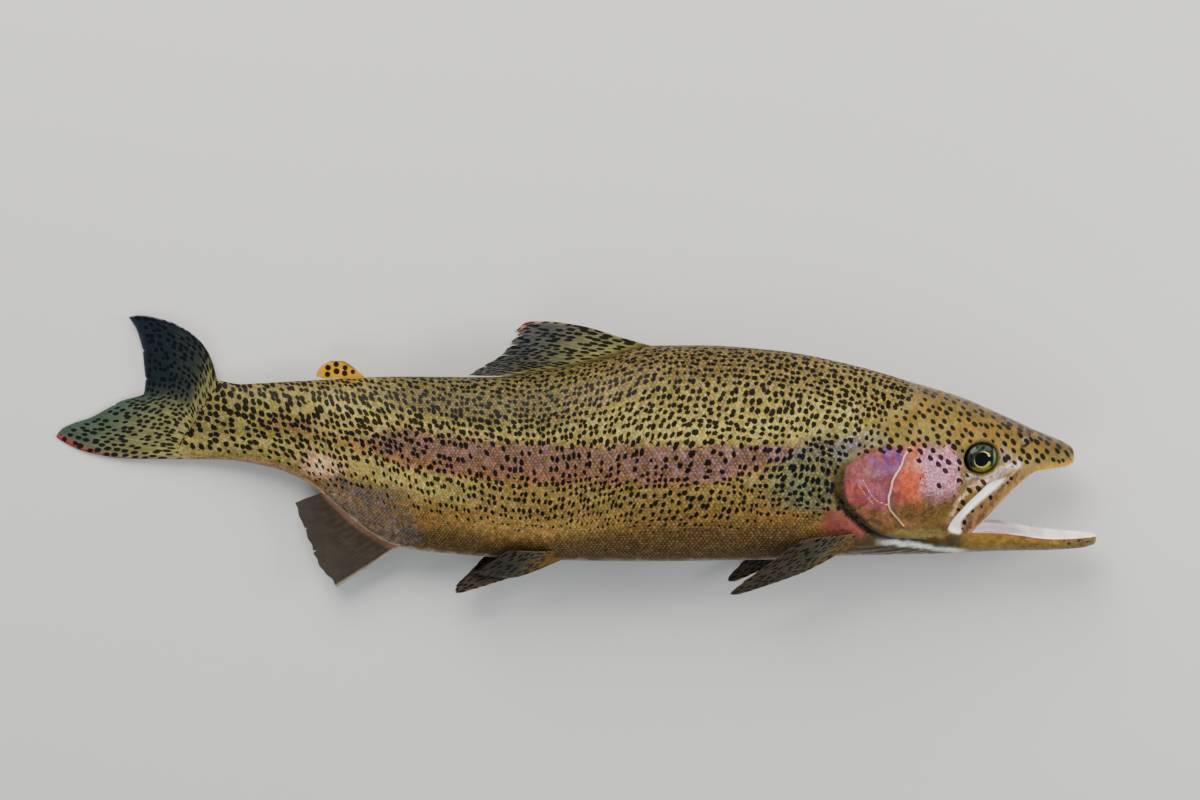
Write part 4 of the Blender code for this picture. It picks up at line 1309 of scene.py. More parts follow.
    def head_spots(self) -> Array:
        """The size of the head's spots, which stop at the gill cover, the jaw and the eye."""
        s, h, x, y, ring = self.station, self.height, self.x, self.y, self.ring
        plate = depth_in(line_through(HEAD.maxilla, 90, closed=True), x, y)
        level = h + 14 * smooth(76, 60, s) * (h > -44)
        keep = smooth(-2.5, -5.0, self.border) * self.outer
        for mask in (
            smooth(0.35, 0.05, self.cover * (y < 5)),
            smooth(0.4, 0.1, self.sheet),
            1 - self.within(HEAD.red_flesh, 3.0),
            1 - self.bone * smooth(2.6, 4.0, plate),
            smooth(1.1, 1.3, ring) * smooth(-46, -36, level),
            1 - 0.8 * smooth(5, 2, np.abs(h + 8)) * smooth(72, 60, s),
            1 - smooth(-18, -24, y) * window(s, 70, 78, 98, 106),
        ):
            keep = keep * mask
        on_jaw = self.jaw * smooth(16, 4, s) * self.outer
        smaller = 1.0 - 0.14 * smooth(6, 16, h) * smooth(36, 60, s)
        return np.clip(1.08 * keep + 0.5 * on_jaw, 0, 1.1) * smaller

    @property
    def on_trunk(self) -> Array:
        """1 behind the head, on the outside."""
        return smooth(-3.5, 0.0, self.border) * self.outer

    @property
    def shoulder(self) -> Array:
        """1 on the shoulder, where the spots stand close."""
        return self.blob(162, -12, 24, 20)

    def trunk_spots(self) -> Array:
        """The size of the trunk's spots, none on the belly."""
        s, v = self.station, self.above
        rear = smooth(330, 400, s) * smooth(-4, 6, v) * (1 - 0.8 * smooth(18, 30, v))
        size = self.on_trunk * np.interp(v, *SPOT_SIZES)
        for more, mask in (
            (0.18, rear),
            (0.12, smooth(405, 435, s) * smooth(-26, -16, v)),
            (0.08, smooth(220, 160, s) * smooth(10, 24, v)),
            (-0.13, smooth(390, 425, s) * smooth(4, 14, v)),
            (0.12, self.shoulder),
        ):
            size = size * (1 + more * mask)
        return size * smooth(2, 8, self.low + 40 * smooth(420, 400, s))

    def left_out(self) -> Array:
        """The share of the spots that are left out."""
        s, v = self.station, self.above
        share = np.interp(v, *SPOTS_LEFT_OUT)
        share *= 1 - 0.5 * smooth(372, 400, s) * smooth(-16, -8, v)
        share += 0.42 * smooth(330, 400, s) * smooth(-14, -26, v) * smooth(450, 420, s)
        share += 0.22 * smooth(12, 7, np.abs(v)) * window(s, 190, 240, 380, 400)
        share *= 1 - self.shoulder
        few = 0.5 * self.within(HEAD.cheek, 1.0) + 0.7 * self.blob(66, -19, 10, 8)
        return np.where(self.border < -2.5, 0.03 + few + 0.4 * self.bone, share)

    def flecks(self) -> Array:
        """The amount of fine flecks, less on the head and none on the mouth's white skin."""
        most = (0.6 + 0.3 * self.on_trunk) * self.outer * (1 - 0.95 * self.sheet)
        return np.clip(0.1 + most, 0, 1)

    def pearls(self) -> Array:
        """The amount of pearly grain: on the cheek, a little on the gill cover, under the eye."""
        y = self.y
        share = 0.8 * self.within(HEAD.cheek, 3.0) * smooth(-31, -10, y)
        share += 0.12 * self.cover * smooth(-40, -30, y)
        share += 0.5 * smooth(4.0, 1.0, self.eye_line) * smooth(1.1, 1.22, self.ring)
        return self.outer * np.clip(share, 0, 1)

    def gill_lines(self) -> Array:
        """Distance to the nearest pale line of the gill cover; a thin line counts as farther."""
        gaps = [
            gap_to(line_through(line, 60), self.station, self.height) + farther
            for line, farther in ((HEAD.preopercle, 0.0), *HEAD.thin_lines)
        ]
        return np.where(self.outer > 0.5, np.min(gaps, axis=0), FAR_FROM_LINE)


# Stations, and the length of a cell of the trunk's spots there.
SPOT_LENGTHS = (
    (0, 120, 170, 210, 300, 390, 430, 552), (3.9, 3.9, 4.0, 4.5, 4.3, 3.7, 3.4, 3.6),
)
# Distances round from the back, and the height of a cell there.
SPOT_HEIGHTS = (0, 30, 55, 75, 95, 150), (3.9, 4.1, 4.7, 5.3, 4.8, 4.4)
CROWN_PITCH, CROWN_TURN = 5.35, 0.38


def cells_of(station: Array, girth: Array) -> Array:
    """Where a point lies among the trunk's spots, counted in spots.

    The count is the sum of 1 / spacing along the way, and the spacing changes slowly.

    Args:
        station: Stations of the points.
        girth: Their distances round the body from the back, + on the right.

    Returns:
        Spots along the body, spots round it, and nothing.
    """
    at, out = np.linspace(-20, 570, 400), np.linspace(0, 170, 200)
    columns = np.cumsum((at[1] - at[0]) / np.interp(at, *SPOT_LENGTHS))
    rows = np.cumsum((out[1] - out[0]) / np.interp(out, *SPOT_HEIGHTS))
    along = np.interp(station, at, columns)
    round_ = np.interp(np.abs(girth), out, rows) * np.sign(girth)
    lean = 0.26 * np.maximum(along - 84.0, 0.0)
    slant = 0.35 * (np.abs(round_) - 11.0) * smooth(335, 470, station)
    slant = slant - 0.22 * round_ * smooth(330, 260, station)
    wander = [0.42 * waves(station, girth, 48.0, seed) for seed in (61, 62)]
    return np.stack([along + slant + wander[0], round_ + lean + wander[1], 0 * along], -1)


def crown_cells(station: Array, girth: Array) -> Array:
    """The same for the head's spots: an even pattern of squares, turned by a small angle."""
    c, s = math.cos(CROWN_TURN) / CROWN_PITCH, math.sin(CROWN_TURN) / CROWN_PITCH
    return np.stack([station * c - girth * s, station * s + girth * c, 0 * girth], -1)


# ---- shader helpers
Socket = bpy.types.NodeSocket
MIX_A, MIX_B, MIX_OUT = 6, 7, 2


@dataclass
class Graph:
    """A short way to write shader nodes."""

    tree: bpy.types.NodeTree

    def put(self, kind: str, *values: object, out: int | str = 0, **settings: object) -> Socket:
        """Adds a node.

        Args:
            kind: The node's type, without the ShaderNode in front.
            values: Its inputs in order: sockets to link, constants, or None to leave.
            out: Which output to give back.
            settings: The node's own settings.

        Returns:
            The chosen output.
        """
        node = self.tree.nodes.new("ShaderNode" + kind)
        for name, value in settings.items():
            setattr(node, name, value)
        for i, value in enumerate(values):
            self.feed(node.inputs[i], value)
        return node.outputs[out]

    def feed(self, socket: Socket, value: object) -> None:
        """Links a socket to an input, or sets the input to a constant."""
        if isinstance(value, bpy.types.NodeSocket):
            self.tree.links.new(value, socket)
        elif value is not None:
            socket.default_value = value

    def named(self, kind: str, inputs: dict[str, object], **settings: object) -> bpy.types.Node:
        """Adds a node whose inputs are fed by name."""
        node = self.tree.nodes.new("ShaderNode" + kind)
        for name, value in settings.items():
            setattr(node, name, value)
        for name, value in inputs.items():
            self.feed(node.inputs[name], value)
        return node

    def split(self, value: Socket, kind: str = "XYZ") -> tuple[Socket, ...]:
        """The three parts of a vector, or with Color the channels of a colour."""
        node = self.tree.nodes.new("ShaderNodeSeparate" + kind)
        self.feed(node.inputs[0], value)
        return tuple(node.outputs)

    def math(self, operation: str, a: object, b: object = None, c: object = None) -> Socket:
        """A Math node."""
        return self.put("Math", a, b, c, operation=operation)

    def times(self, first: object, *more: object) -> Socket:
        """The product of several values."""
        for value in more:
            first = self.math("MULTIPLY", first, value)
        return first

    def line(self, value: object, slope: object, start: object) -> Socket:
        """A straight line: value * slope + start."""
        return self.math("MULTIPLY_ADD", value, slope, start)

    def join(self, operation: str, a: object, b: object) -> Socket:
        """A vector sum, difference or product."""
        return self.put("VectorMath", a, b, operation=operation)

    def scaled(self, colour: object, by: object) -> Socket:
        """A colour or vector times a number."""
        return self.put("VectorMath", colour, None, None, by, operation="SCALE")

    def step(
        self, value: object, low: object, high: object, start: object = 0.0, end: object = 1.0
    ) -> Socket:
        """A smooth ramp from start, where the value is low, to end, where it is high."""
        return self.put("MapRange", value, low, high, start, end, interpolation_type="SMOOTHSTEP")

    def mix(self, share: object, a: object, b: object) -> Socket:
        """A colour mix: a at share 0, b at share 1."""
        node = self.tree.nodes.new("ShaderNodeMix")
        node.data_type = "RGBA"
        for i, value in ((0, share), (MIX_A, a), (MIX_B, b)):
            self.feed(node.inputs[i], value)
        return node.outputs[MIX_OUT]

    def glaze(self, colour: object, over: Sequence[float], *shares: object) -> Socket:
        """A colour covered with another, of 0 to 255 per channel, by a product of shares."""
        return self.mix(self.times(*shares), colour, linear(*over))

    def attribute(self, name: str, out: str = "Vector") -> Socket:
        """A named value of the mesh: its Vector, Color or Fac."""
        return self.put("Attribute", out=out, attribute_name=name)

    def noise(self, at: Socket, scale: float, detail: float = 2.0, out: str = "Fac") -> Socket:
        """Seeded unevenness, about 0 to 1."""
        return self.put("TexNoise", at, None, scale, detail, out=out)

    def group(self, tree: bpy.types.NodeTree, **inputs: object) -> bpy.types.Node:
        """Adds a group and feeds its named inputs."""
        return self.named("Group", inputs, node_tree=tree)


def new_group(
    name: str, inputs: dict[str, str], outputs: dict[str, str]
) -> tuple[Graph, Callable, Callable]:
    """Starts a node group.

    Args:
        name: The group's name.
        inputs: Names of its inputs and their kinds: Float, Vector or Color.
        outputs: The same for its outputs.

    Returns:
        Its graph, a function that gives an input by name, and one that feeds an output.
    """
    tree = bpy.data.node_groups.new(name, "ShaderNodeTree")
    for way, sockets in (("INPUT", inputs), ("OUTPUT", outputs)):
        for key, kind in sockets.items():
            tree.interface.new_socket(key, in_out=way, socket_type="NodeSocket" + kind)
    graph = Graph(tree)
    entry, leave = tree.nodes.new("NodeGroupInput"), tree.nodes.new("NodeGroupOutput")

    def take(key: str) -> Socket:
        """An input of the group."""
        return entry.outputs[key]

    def give(key: str, value: object) -> None:
        """Feeds an output of the group."""
        graph.feed(leave.inputs[key], value)

    return graph, take, give


def spots_group() -> bpy.types.NodeTree:
    """Uneven dark spots strewn over a surface, one to a cell of a Voronoi pattern.

    Returns:
        The group. Its Amount is 1 within a spot, whose reach is its Size times 0.255 to
        0.355 of a cell; Jitter moves the spots, Wobble makes them uneven, and Bare is the
        share of the cells without one.
    """
    least, spread, edge = 0.255, 0.1, 0.045
    inputs = dict.fromkeys(("Size", "Jitter", "Wobble", "Bare"), "Float")
    g, take, give = new_group("strewn spots", {"Place": "Vector", **inputs}, {"Amount": "Float"})
    coarse = g.noise(take("Place"), 1.7, 2.0, out="Color")
    fine = g.noise(take("Place"), 5.0, 1.0, out="Color")
    both = g.join("ADD", coarse, g.join("MULTIPLY", fine, (0.45,) * 3))
    shift = g.join("SUBTRACT", both, (0.725,) * 3)
    moved = g.join("ADD", take("Place"), g.scaled(shift, take("Wobble")))
    cell = g.named(
        "TexVoronoi", {"Vector": moved, "Scale": 1.0, "Randomness": take("Jitter")},
        voronoi_dimensions="2D",
    )
    luck, other, _ = g.split(cell.outputs["Color"], "Color")
    reach = g.times(take("Size"), g.line(luck, spread, least))
    low, high = g.math("SUBTRACT", reach, edge), g.math("ADD", reach, edge)
    kept = g.math("GREATER_THAN", other, take("Bare"))
    round_ = g.step(cell.outputs["Distance"], high, low)
    give("Amount", g.times(round_, kept, g.step(take("Size"), 0.05, 0.3)))
    return g.tree


def markings_group(spots: bpy.types.NodeTree) -> bpy.types.NodeTree:
    """The trout's colours: its tint, uneven flecks, the spots of head and trunk."""
    outputs = {"Color": "Color", "Roughness": "Float", "Height": "Float", "Spots": "Float"}
    g, _, give = new_group("trout markings", {}, outputs)
    place, tint = g.attribute("place"), g.attribute("tint", "Color")
    head, trunk, flecks = g.split(g.attribute("marks"))
    bare, pearls = g.attribute("bare", "Fac"), g.attribute("pearls", "Fac")
    on_head = g.group(
        spots, Place=g.attribute("crown_cells"), Size=head, Jitter=0.56, Wobble=0.09, Bare=bare
    )
    on_trunk = g.group(
        spots, Place=g.attribute("cells"), Size=trunk, Jitter=0.58, Wobble=0.38, Bare=bare
    )
    dark = g.math("MAXIMUM", on_head.outputs[0], on_trunk.outputs[0])

    # Broad light and dark, then small patches that differ in light, warmth and depth.
    base = g.scaled(tint, g.step(g.noise(place, 1.1, 3.0), 0.25, 0.75, 0.84, 1.16))
    light, warmth, depth = g.split(g.noise(place, 4.4, 2.0, out="Color"), "Color")
    warm = g.mix(g.step(warmth, 0.42, 0.58), (0.88, 1.07, 0.88, 1), (1.12, 0.95, 0.84, 1))
    rich = g.mix(g.step(depth, 0.42, 0.58), (0.98, 0.97, 1.34, 1), (1.05, 1.06, 0.74, 1))
    varied = g.join("MULTIPLY", base, g.join("MULTIPLY", warm, rich))
    varied = g.scaled(varied, g.step(light, 0.38, 0.62, 1.24, 0.78))
    colour = g.mix(flecks, base, varied)
    specks = g.step(g.noise(place, 13.0, 2.0), 0.56, 0.72)
    colour = g.glaze(colour, (210, 159, 115), specks, flecks, 0.3)
    shades = g.step(g.noise(place, 9.0, 3.0), 0.52, 0.34)
    colour = g.glaze(colour, (83, 66, 35), shades, flecks, 0.4)

    # Streaks and pearly grain where there are pearls.
    streaks = g.noise(g.join("MULTIPLY", place, (1.6, 1.0, 0.7)), 2.1, 3.0)
    streaked = g.scaled(colour, g.step(streaks, 0.36, 0.64, 1.2, 0.8))
    colour = g.mix(g.step(pearls, 0.0, 0.1), colour, streaked)
    grain = g.step(g.noise(place, 7.5, 3.0), 0.45, 0.66)
    amount = g.math("MAXIMUM", g.line(pearls, 0.68, -0.08), 0.0)
    colour = g.glaze(colour, (238, 200, 214), grain, amount)

    # The pale lines of the gill cover, and the spots over all.
    wavy = g.line(g.noise(place, 3.0), 0.3, -0.15)
    ridge = g.step(g.math("ADD", g.attribute("line", "Fac"), wavy), 0.72, 0.2)
    colour = g.glaze(colour, Hue.CREAM.value, ridge, 0.85)
    give("Color", g.glaze(colour, Hue.SPOT.value, dark, 0.96))
    give("Roughness", g.step(g.noise(place, 6.0), 0.3, 0.7, 0.28, 0.42))
    give("Height", g.line(g.noise(place, 14.0, 3.0), 0.5, g.times(ridge, 0.3)))
    give("Spots", dark)
    return g.tree


@dataclass(frozen=True)
class Finish:
    """A material with one main shader; a measure of None leaves the shader's own."""

    name: str
    colour: tuple[float, float, float] | None = None
    roughness: float | None = None
    specular: float | None = None
    coat: float | None = None
    coat_roughness: float | None = None
    coat_ior: float | None = None

    def make(self) -> bpy.types.Material:
        """Makes the material."""
        made = bpy.data.materials.new(self.name)
        made.use_nodes = True
        shader = made.node_tree.nodes["Principled BSDF"]
        g = Graph(made.node_tree)
        for key, value in (
            ("Base Color", self.colour and linear(*self.colour)), ("Roughness", self.roughness),
            ("Specular IOR Level", self.specular), ("Coat Weight", self.coat),
            ("Coat Roughness", self.coat_roughness), ("Coat IOR", self.coat_ior),
            *self.surface(g).items(),
        ):
            g.feed(shader.inputs[key], value)
        return made

    def surface(self, g: Graph) -> dict[str, Socket]:
        """What changes over the surface, by the shader's inputs; here nothing does."""
        return {}


@dataclass(frozen=True)
class SkinFinish(Finish):
    """Bare wet skin of the head, and what lies under the scales."""

    markings: bpy.types.NodeTree | None = None

    def surface(self, g: Graph) -> dict[str, Socket]:
        """The markings, in slight relief."""
        marks = g.group(self.markings).outputs
        bump = g.named("Bump", {"Strength": 0.5, "Distance": 0.0004, "Height": marks["Height"]})
        return {
            "Base Color": marks["Color"], "Roughness": marks["Roughness"],
            "Normal": bump.outputs[0],
        }


@dataclass(frozen=True)
class ScaleFinish(Finish):
    """Thin wet scales."""

    markings: bpy.types.NodeTree | None = None

    def surface(self, g: Graph) -> dict[str, Socket]:
        """The markings, with a painted glint in the middle and a darker rim to each scale."""
        marks = g.group(self.markings).outputs
        luck, rim, _ = g.split(g.attribute("plate"))
        colour = g.scaled(marks["Color"], g.step(luck, 0.0, 1.0, 0.74, 1.34))
        clear = g.math("SUBTRACT", 1.0, marks["Spots"])
        edge = g.times(g.step(rim, 0.62, 1.0), clear, g.line(luck, 0.34, 0.1))
        colour = g.glaze(colour, (66, 50, 26), edge)
        # A painted glint: the middle of each scale is made paler.
        colour = g.glaze(colour, (221, 196, 135), g.step(rim, 0.6, 0.1), clear, 0.1)
        return {"Base Color": colour, "Roughness": g.step(luck, 0.0, 1.0, 0.34, 0.46)}


@dataclass(frozen=True)
class FinFinish(Finish):
    """A fin's thin skin."""

    spots: bpy.types.NodeTree | None = None

    def surface(self, g: Graph) -> dict[str, Socket]:
        """Light and dark rays, with spots that are long along them."""
        size, ray, clear = g.split(g.attribute("marks"))
        spots = g.group(
            self.spots, Place=g.attribute("cells"), Size=size, Jitter=0.62, Wobble=0.22,
            Bare=0.08,
        )
        uneven = g.step(g.noise(g.attribute("place"), 2.0, 3.0), 0.3, 0.7, 0.85, 1.15)
        value = g.times(uneven, g.line(ray, 0.2, 0.9))
        colour = g.scaled(g.attribute("tint", "Color"), value)
        colour = g.glaze(colour, Hue.SPOT.value, spots.outputs[0], 0.94)
        return {"Base Color": colour, "Alpha": clear}


@dataclass(frozen=True)
class EyeFinish(Finish):
    """The eyeball's glassy skin."""

    def surface(self, g: Graph) -> dict[str, Socket]:
        """A black pupil, a gold ring and a dark iris with a painted grey-green reflection above."""
        disc = g.attribute("disc")
        front, up, away = g.split(disc)
        fine, broad = g.noise(disc, 1.6, 4.0), g.noise(disc, 0.42, 2.0)
        wobble = g.line(g.noise(disc, 0.9, 2.0), 0.7, -0.35)
        radius = g.math("ADD", away, wobble)

        # The iris: mottled, with a painted reflection above, yellow below and a dark rim.
        iris = g.mix(g.step(broad, 0.42, 0.6), linear(9, 14, 17), linear(48, 54, 42))
        for colour, *shares in (
            ((26, 30, 24), g.step(fine, 0.6, 0.4), 0.5),
            # A painted reflection on the top of the iris.
            ((70, 84, 78), g.step(up, 3.5, 6.5), g.step(broad, 0.4, 0.56), 0.35),
            ((150, 140, 46), g.step(up, -3.5, -6.5), g.step(fine, 0.35, 0.6), 0.8),
            ((12, 14, 14), g.step(away, 7.9, 9.2)),
        ):
            iris = g.glaze(iris, colour, *shares)

        # The gold ring, a little off the middle, and the pupil, drawn out to the front.
        ahead, above = g.math("SUBTRACT", front, 0.7), g.math("ADD", up, 0.6)
        wide = g.math("SQRT", g.line(ahead, ahead, g.times(above, above)))
        ring = g.step(g.math("ADD", wide, wobble), 5.5, 5.05)
        gold = g.mix(g.step(up, -3.0, 3.0), linear(160, 172, 52), linear(236, 206, 72))
        gold = g.glaze(gold, (252, 240, 176), g.step(radius, 5.0, 4.4), 0.5)
        notch = g.times(g.step(front, 2.0, 5.6), g.step(g.math("ABSOLUTE", up), 1.9, 0.2), 1.9)
        pupil = g.step(g.math("SUBTRACT", radius, notch), 4.6, 4.35)
        side = g.math("DIVIDE", g.math("SUBTRACT", front, 6.0), 1.3)
        tall = g.math("DIVIDE", up, 2.7)
        oval = g.step(g.line(side, side, g.times(tall, tall)), 1.2, 0.6)
        rim = g.step(front, 6.9, 8.0)
        colour = g.glaze(g.mix(ring, iris, gold), (16, 18, 22), oval)
        colour = g.glaze(colour, (118, 132, 96), rim, g.step(fine, 0.3, 0.5), 0.6)
        colour = g.glaze(colour, (5, 8, 15), pupil)
        return {"Base Color": colour, "Metallic": g.times(g.math("SUBTRACT", ring, pupil), 0.4)}


class Finishes:
    """The materials, made once and shared."""

    def __init__(self) -> None:
        """Makes the shared groups and every finish."""
        spots = spots_group()
        markings = markings_group(spots)
        skin = SkinFinish(
            "trout skin", specular=0.16, coat=0.2, coat_roughness=0.1, markings=markings
        )
        scales = ScaleFinish(
            "trout scales", specular=0.04, coat=0.015, coat_roughness=0.16, markings=markings
        )
        fin = FinFinish(
            "fin membrane", roughness=0.42, specular=0.06, coat=0.03, coat_roughness=0.15,
            spots=spots,
        )
        eye = EyeFinish(
            "trout eye", roughness=0.3, specular=0.12, coat=0.3, coat_roughness=0.03,
            coat_ior=1.33,
        )
        tooth = Finish("tooth", (234, 210, 194), 0.25, coat=0.5, coat_roughness=0.12)
        tongue = Finish("tongue flesh", (214, 180, 186), 0.35, coat=0.5, coat_roughness=0.12)
        self.skin, self.scales, self.fin = skin.make(), scales.make(), fin.make()
        self.eye, self.tooth, self.tongue = eye.make(), tooth.make(), tongue.make()


# ---- scales
@dataclass
class Coat:
    """The scales: thin closed plates in staggered rows, each over the front of the next.

    A plate is eight corners round its rim, then the middle of its top and of its underside.
    """

    form: Form
    rows: int = 80
    stretch: float = 1.24
    parting: float = 335.0
    first: float = 90.0
    sink: float = 0.3

    OUTLINE = np.array([
        (0.82, 0.0), (0.62, 0.62), (0.12, 0.98), (-0.40, 0.74), (-0.60, 0.0), (-0.40, -0.74),
        (0.12, -0.98), (0.62, -0.62), (0.16, 0.0), (0.10, 0.0),
    ])
    LIFTS = np.array([0.27, 0.23, 0.1, -0.04, -0.1, -0.04, 0.1, 0.23, 0.26, -0.08])
    RIM, TOP, UNDERSIDE = 8, 8, 9

    def roots(self) -> tuple[Array, Array, Array]:
        """Station, share of the way round and lengthwise pitch of every scale of one side."""
        at = np.linspace(self.first, self.form.stalk_end - 0.8, 900)
        pitch = self.stretch * self.form.half_girth(at) / self.rows
        count = np.cumsum(np.diff(at) / (0.5 * (pitch[1:] + pitch[:-1])))
        count = np.concatenate([[0], count])
        columns = np.arange(int(count[-1]))
        row, column = np.meshgrid(np.arange(self.rows), columns, indexing="ij")
        rng = np.random.default_rng(11)
        slip = rng.uniform(-0.09, 0.09, (2, *row.shape))
        station = np.interp(column + 0.5 * (row % 2) + slip[0], count, at).ravel()
        share = ((row + 0.5 + slip[1]) / self.rows).ravel()
        keep = self.border(station, share) > 0.8
        return station[keep], share[keep], np.interp(station, at, pitch)[keep]

    def border(self, station: Array, share: Array) -> Array:
        """Distance behind the line where the scales start."""
        height = self.form.flank(station, share, 1.0)[:, 1]
        return station - curve(HEAD.scale_edge, height)

    def normals(self, a: Array, b: Array, hands: Array, points: Array) -> Array:
        """Unit normals of the plain body at points, away from the middle of their section."""
        flank, along, round_ = self.form.flank, 0.4, 0.004
        ahead = flank(a + along, b, hands) - flank(a - along, b, hands)
        below = flank(a, np.minimum(b + round_, 1), hands)
        over = flank(a, np.maximum(b - round_, 0), hands)
        normal = np.cross(ahead, (below - over) * hands[..., None])
        normal /= np.maximum(np.linalg.norm(normal, axis=-1, keepdims=True), 1e-9)
        return normal * np.sign((normal * (points - self.core(a))).sum(-1))[..., None]

    def faces(self, count: int) -> Array:
        """Corners of the plates' triangles: a fan over each and one under it."""
        ring = np.arange(self.RIM)
        following = np.roll(ring, -1)
        top, low = (np.full(self.RIM, k) for k in (self.TOP, self.UNDERSIDE))
        fans = np.concatenate([
            np.stack([ring, following, top, top], -1), np.stack([following, ring, low, low], -1),
        ])
        return (fans[None] + len(self.LIFTS) * np.arange(count)[:, None, None]).reshape(-1, 4)

    def build(self, hand: float, part: int) -> tuple[Mesh, Array]:
        """Works out the plates of half of one side.

        Args:
            hand: 1 for the fish's right side, -1 for its left.
            part: 0 for the front half, 1 for the rear.

        Returns:
            The plates in fish measures with their paint, and a texture place per point.
        """
        station, share, pitch = self.roots()
        mine = (station > self.parting) == bool(part)
        station, share, pitch = station[mine], share[mine], pitch[mine]
        count, corners = len(station), len(self.LIFTS)
        rng = np.random.default_rng(12 + part + (5 if hand > 0 else 0))
        luck = rng.uniform(0, 1, count)
        size = (0.5 + 0.5 * smooth(0, 14, self.border(station, share))) * (0.94 + 0.12 * luck)
        a = station[:, None] + self.OUTLINE[:, 0] * (pitch * size)[:, None]
        b = share[:, None] + self.OUTLINE[:, 1] * (size / self.rows)[:, None]
        # A corner beyond the back or the belly lies on the other side of the fish.
        hands = np.where(b < 0, -hand, hand) * np.where(b > 1, -1, 1)
        b = np.abs(b)
        b = np.where(b > 1, 2 - b, b)
        a = np.minimum(a, self.form.stalk_end - 0.05)
        points = self.form.flank(a, b, hands)
        tilt = 0.03 * rng.uniform(-1, 1, (count, 1)) * self.OUTLINE[:, 1]
        out = relief(points[..., 0], points[..., 1]) - self.sink
        out = out + self.LIFTS * size[:, None] + tilt
        placed = points + self.normals(a, b, hands, points) * out[..., None]

        girth = b * hands * self.form.half_girth(a)
        # Most of a spot's edge follows the scales: a plate's corners lean to its middle.
        cells = cells_of(a, girth)
        cells = 0.84 * cells + 0.16 * cells[:, self.TOP:self.TOP + 1]
        flat = points.reshape(-1, 3)
        values = FleshPaint(*flat.T, outer=np.ones(len(flat))).values()
        rim = np.ones((count, corners))
        rim[:, self.TOP] = 0.0
        lucks = np.tile(luck[:, None], (1, corners))
        values |= {
            "place": flat / 10.0, "cells": cells.reshape(-1, 3),
            "crown_cells": crown_cells(flat[:, 0], girth.ravel()),
            "plate": np.stack([lucks, rim, 0 * rim], -1).reshape(-1, 3),
            "lift": np.tile(self.LIFTS, count),
        }
        root = np.stack([(station + 20.0) / 560.0, 0.5 + 0.48 * hand * share], -1)[:, None]
        spread = np.stack([self.OUTLINE[:, 0] / 0.82, self.OUTLINE[:, 1]], -1) * 0.0015
        plates = Mesh(placed.reshape(-1, 3), self.faces(count), values)
        return plates, (root + spread).reshape(-1, 2)

    def core(self, station: Array) -> Array:
        """The middle of the section at each station, which every normal points away from."""
        middle = 0.5 * (curve(self.form.back, station) + curve(self.form.belly, station))
        return np.stack([station, middle, 0 * station], -1)


def add_bake_places(piece: bpy.types.Object, places: Array) -> None:
    """Gives a piece the texture map that its colours are baked by, from a place per point."""
    mesh = piece.data
    corners = np.empty(len(mesh.loops), np.int32)
    mesh.loops.foreach_get("vertex_index", corners)
    layer = mesh.uv_layers.new(name="OFBake")
    layer.data.foreach_set("uv", places[corners].astype(np.float32).ravel())


def sharpen(mesh: bpy.types.Mesh, rim: Array) -> None:
    """Marks the edges that join two rim points as sharp."""
    ends = np.empty(len(mesh.edges) * 2, np.int32)
    mesh.edges.foreach_get("vertices", ends)
    sharp = rim[ends.reshape(-1, 2)].all(axis=1)
    layer = mesh.attributes.new("sharp_edge", "BOOLEAN", "EDGE")
    layer.data.foreach_set("value", sharp)


# ---- fins
Spread = Callable[[Array, Array], Array]
FinLayers = Callable[[Array, Array, Array, Array], list[Layer]]
FinPaint = Callable[[Array, Array, Array, Array], dict[str, Array]]


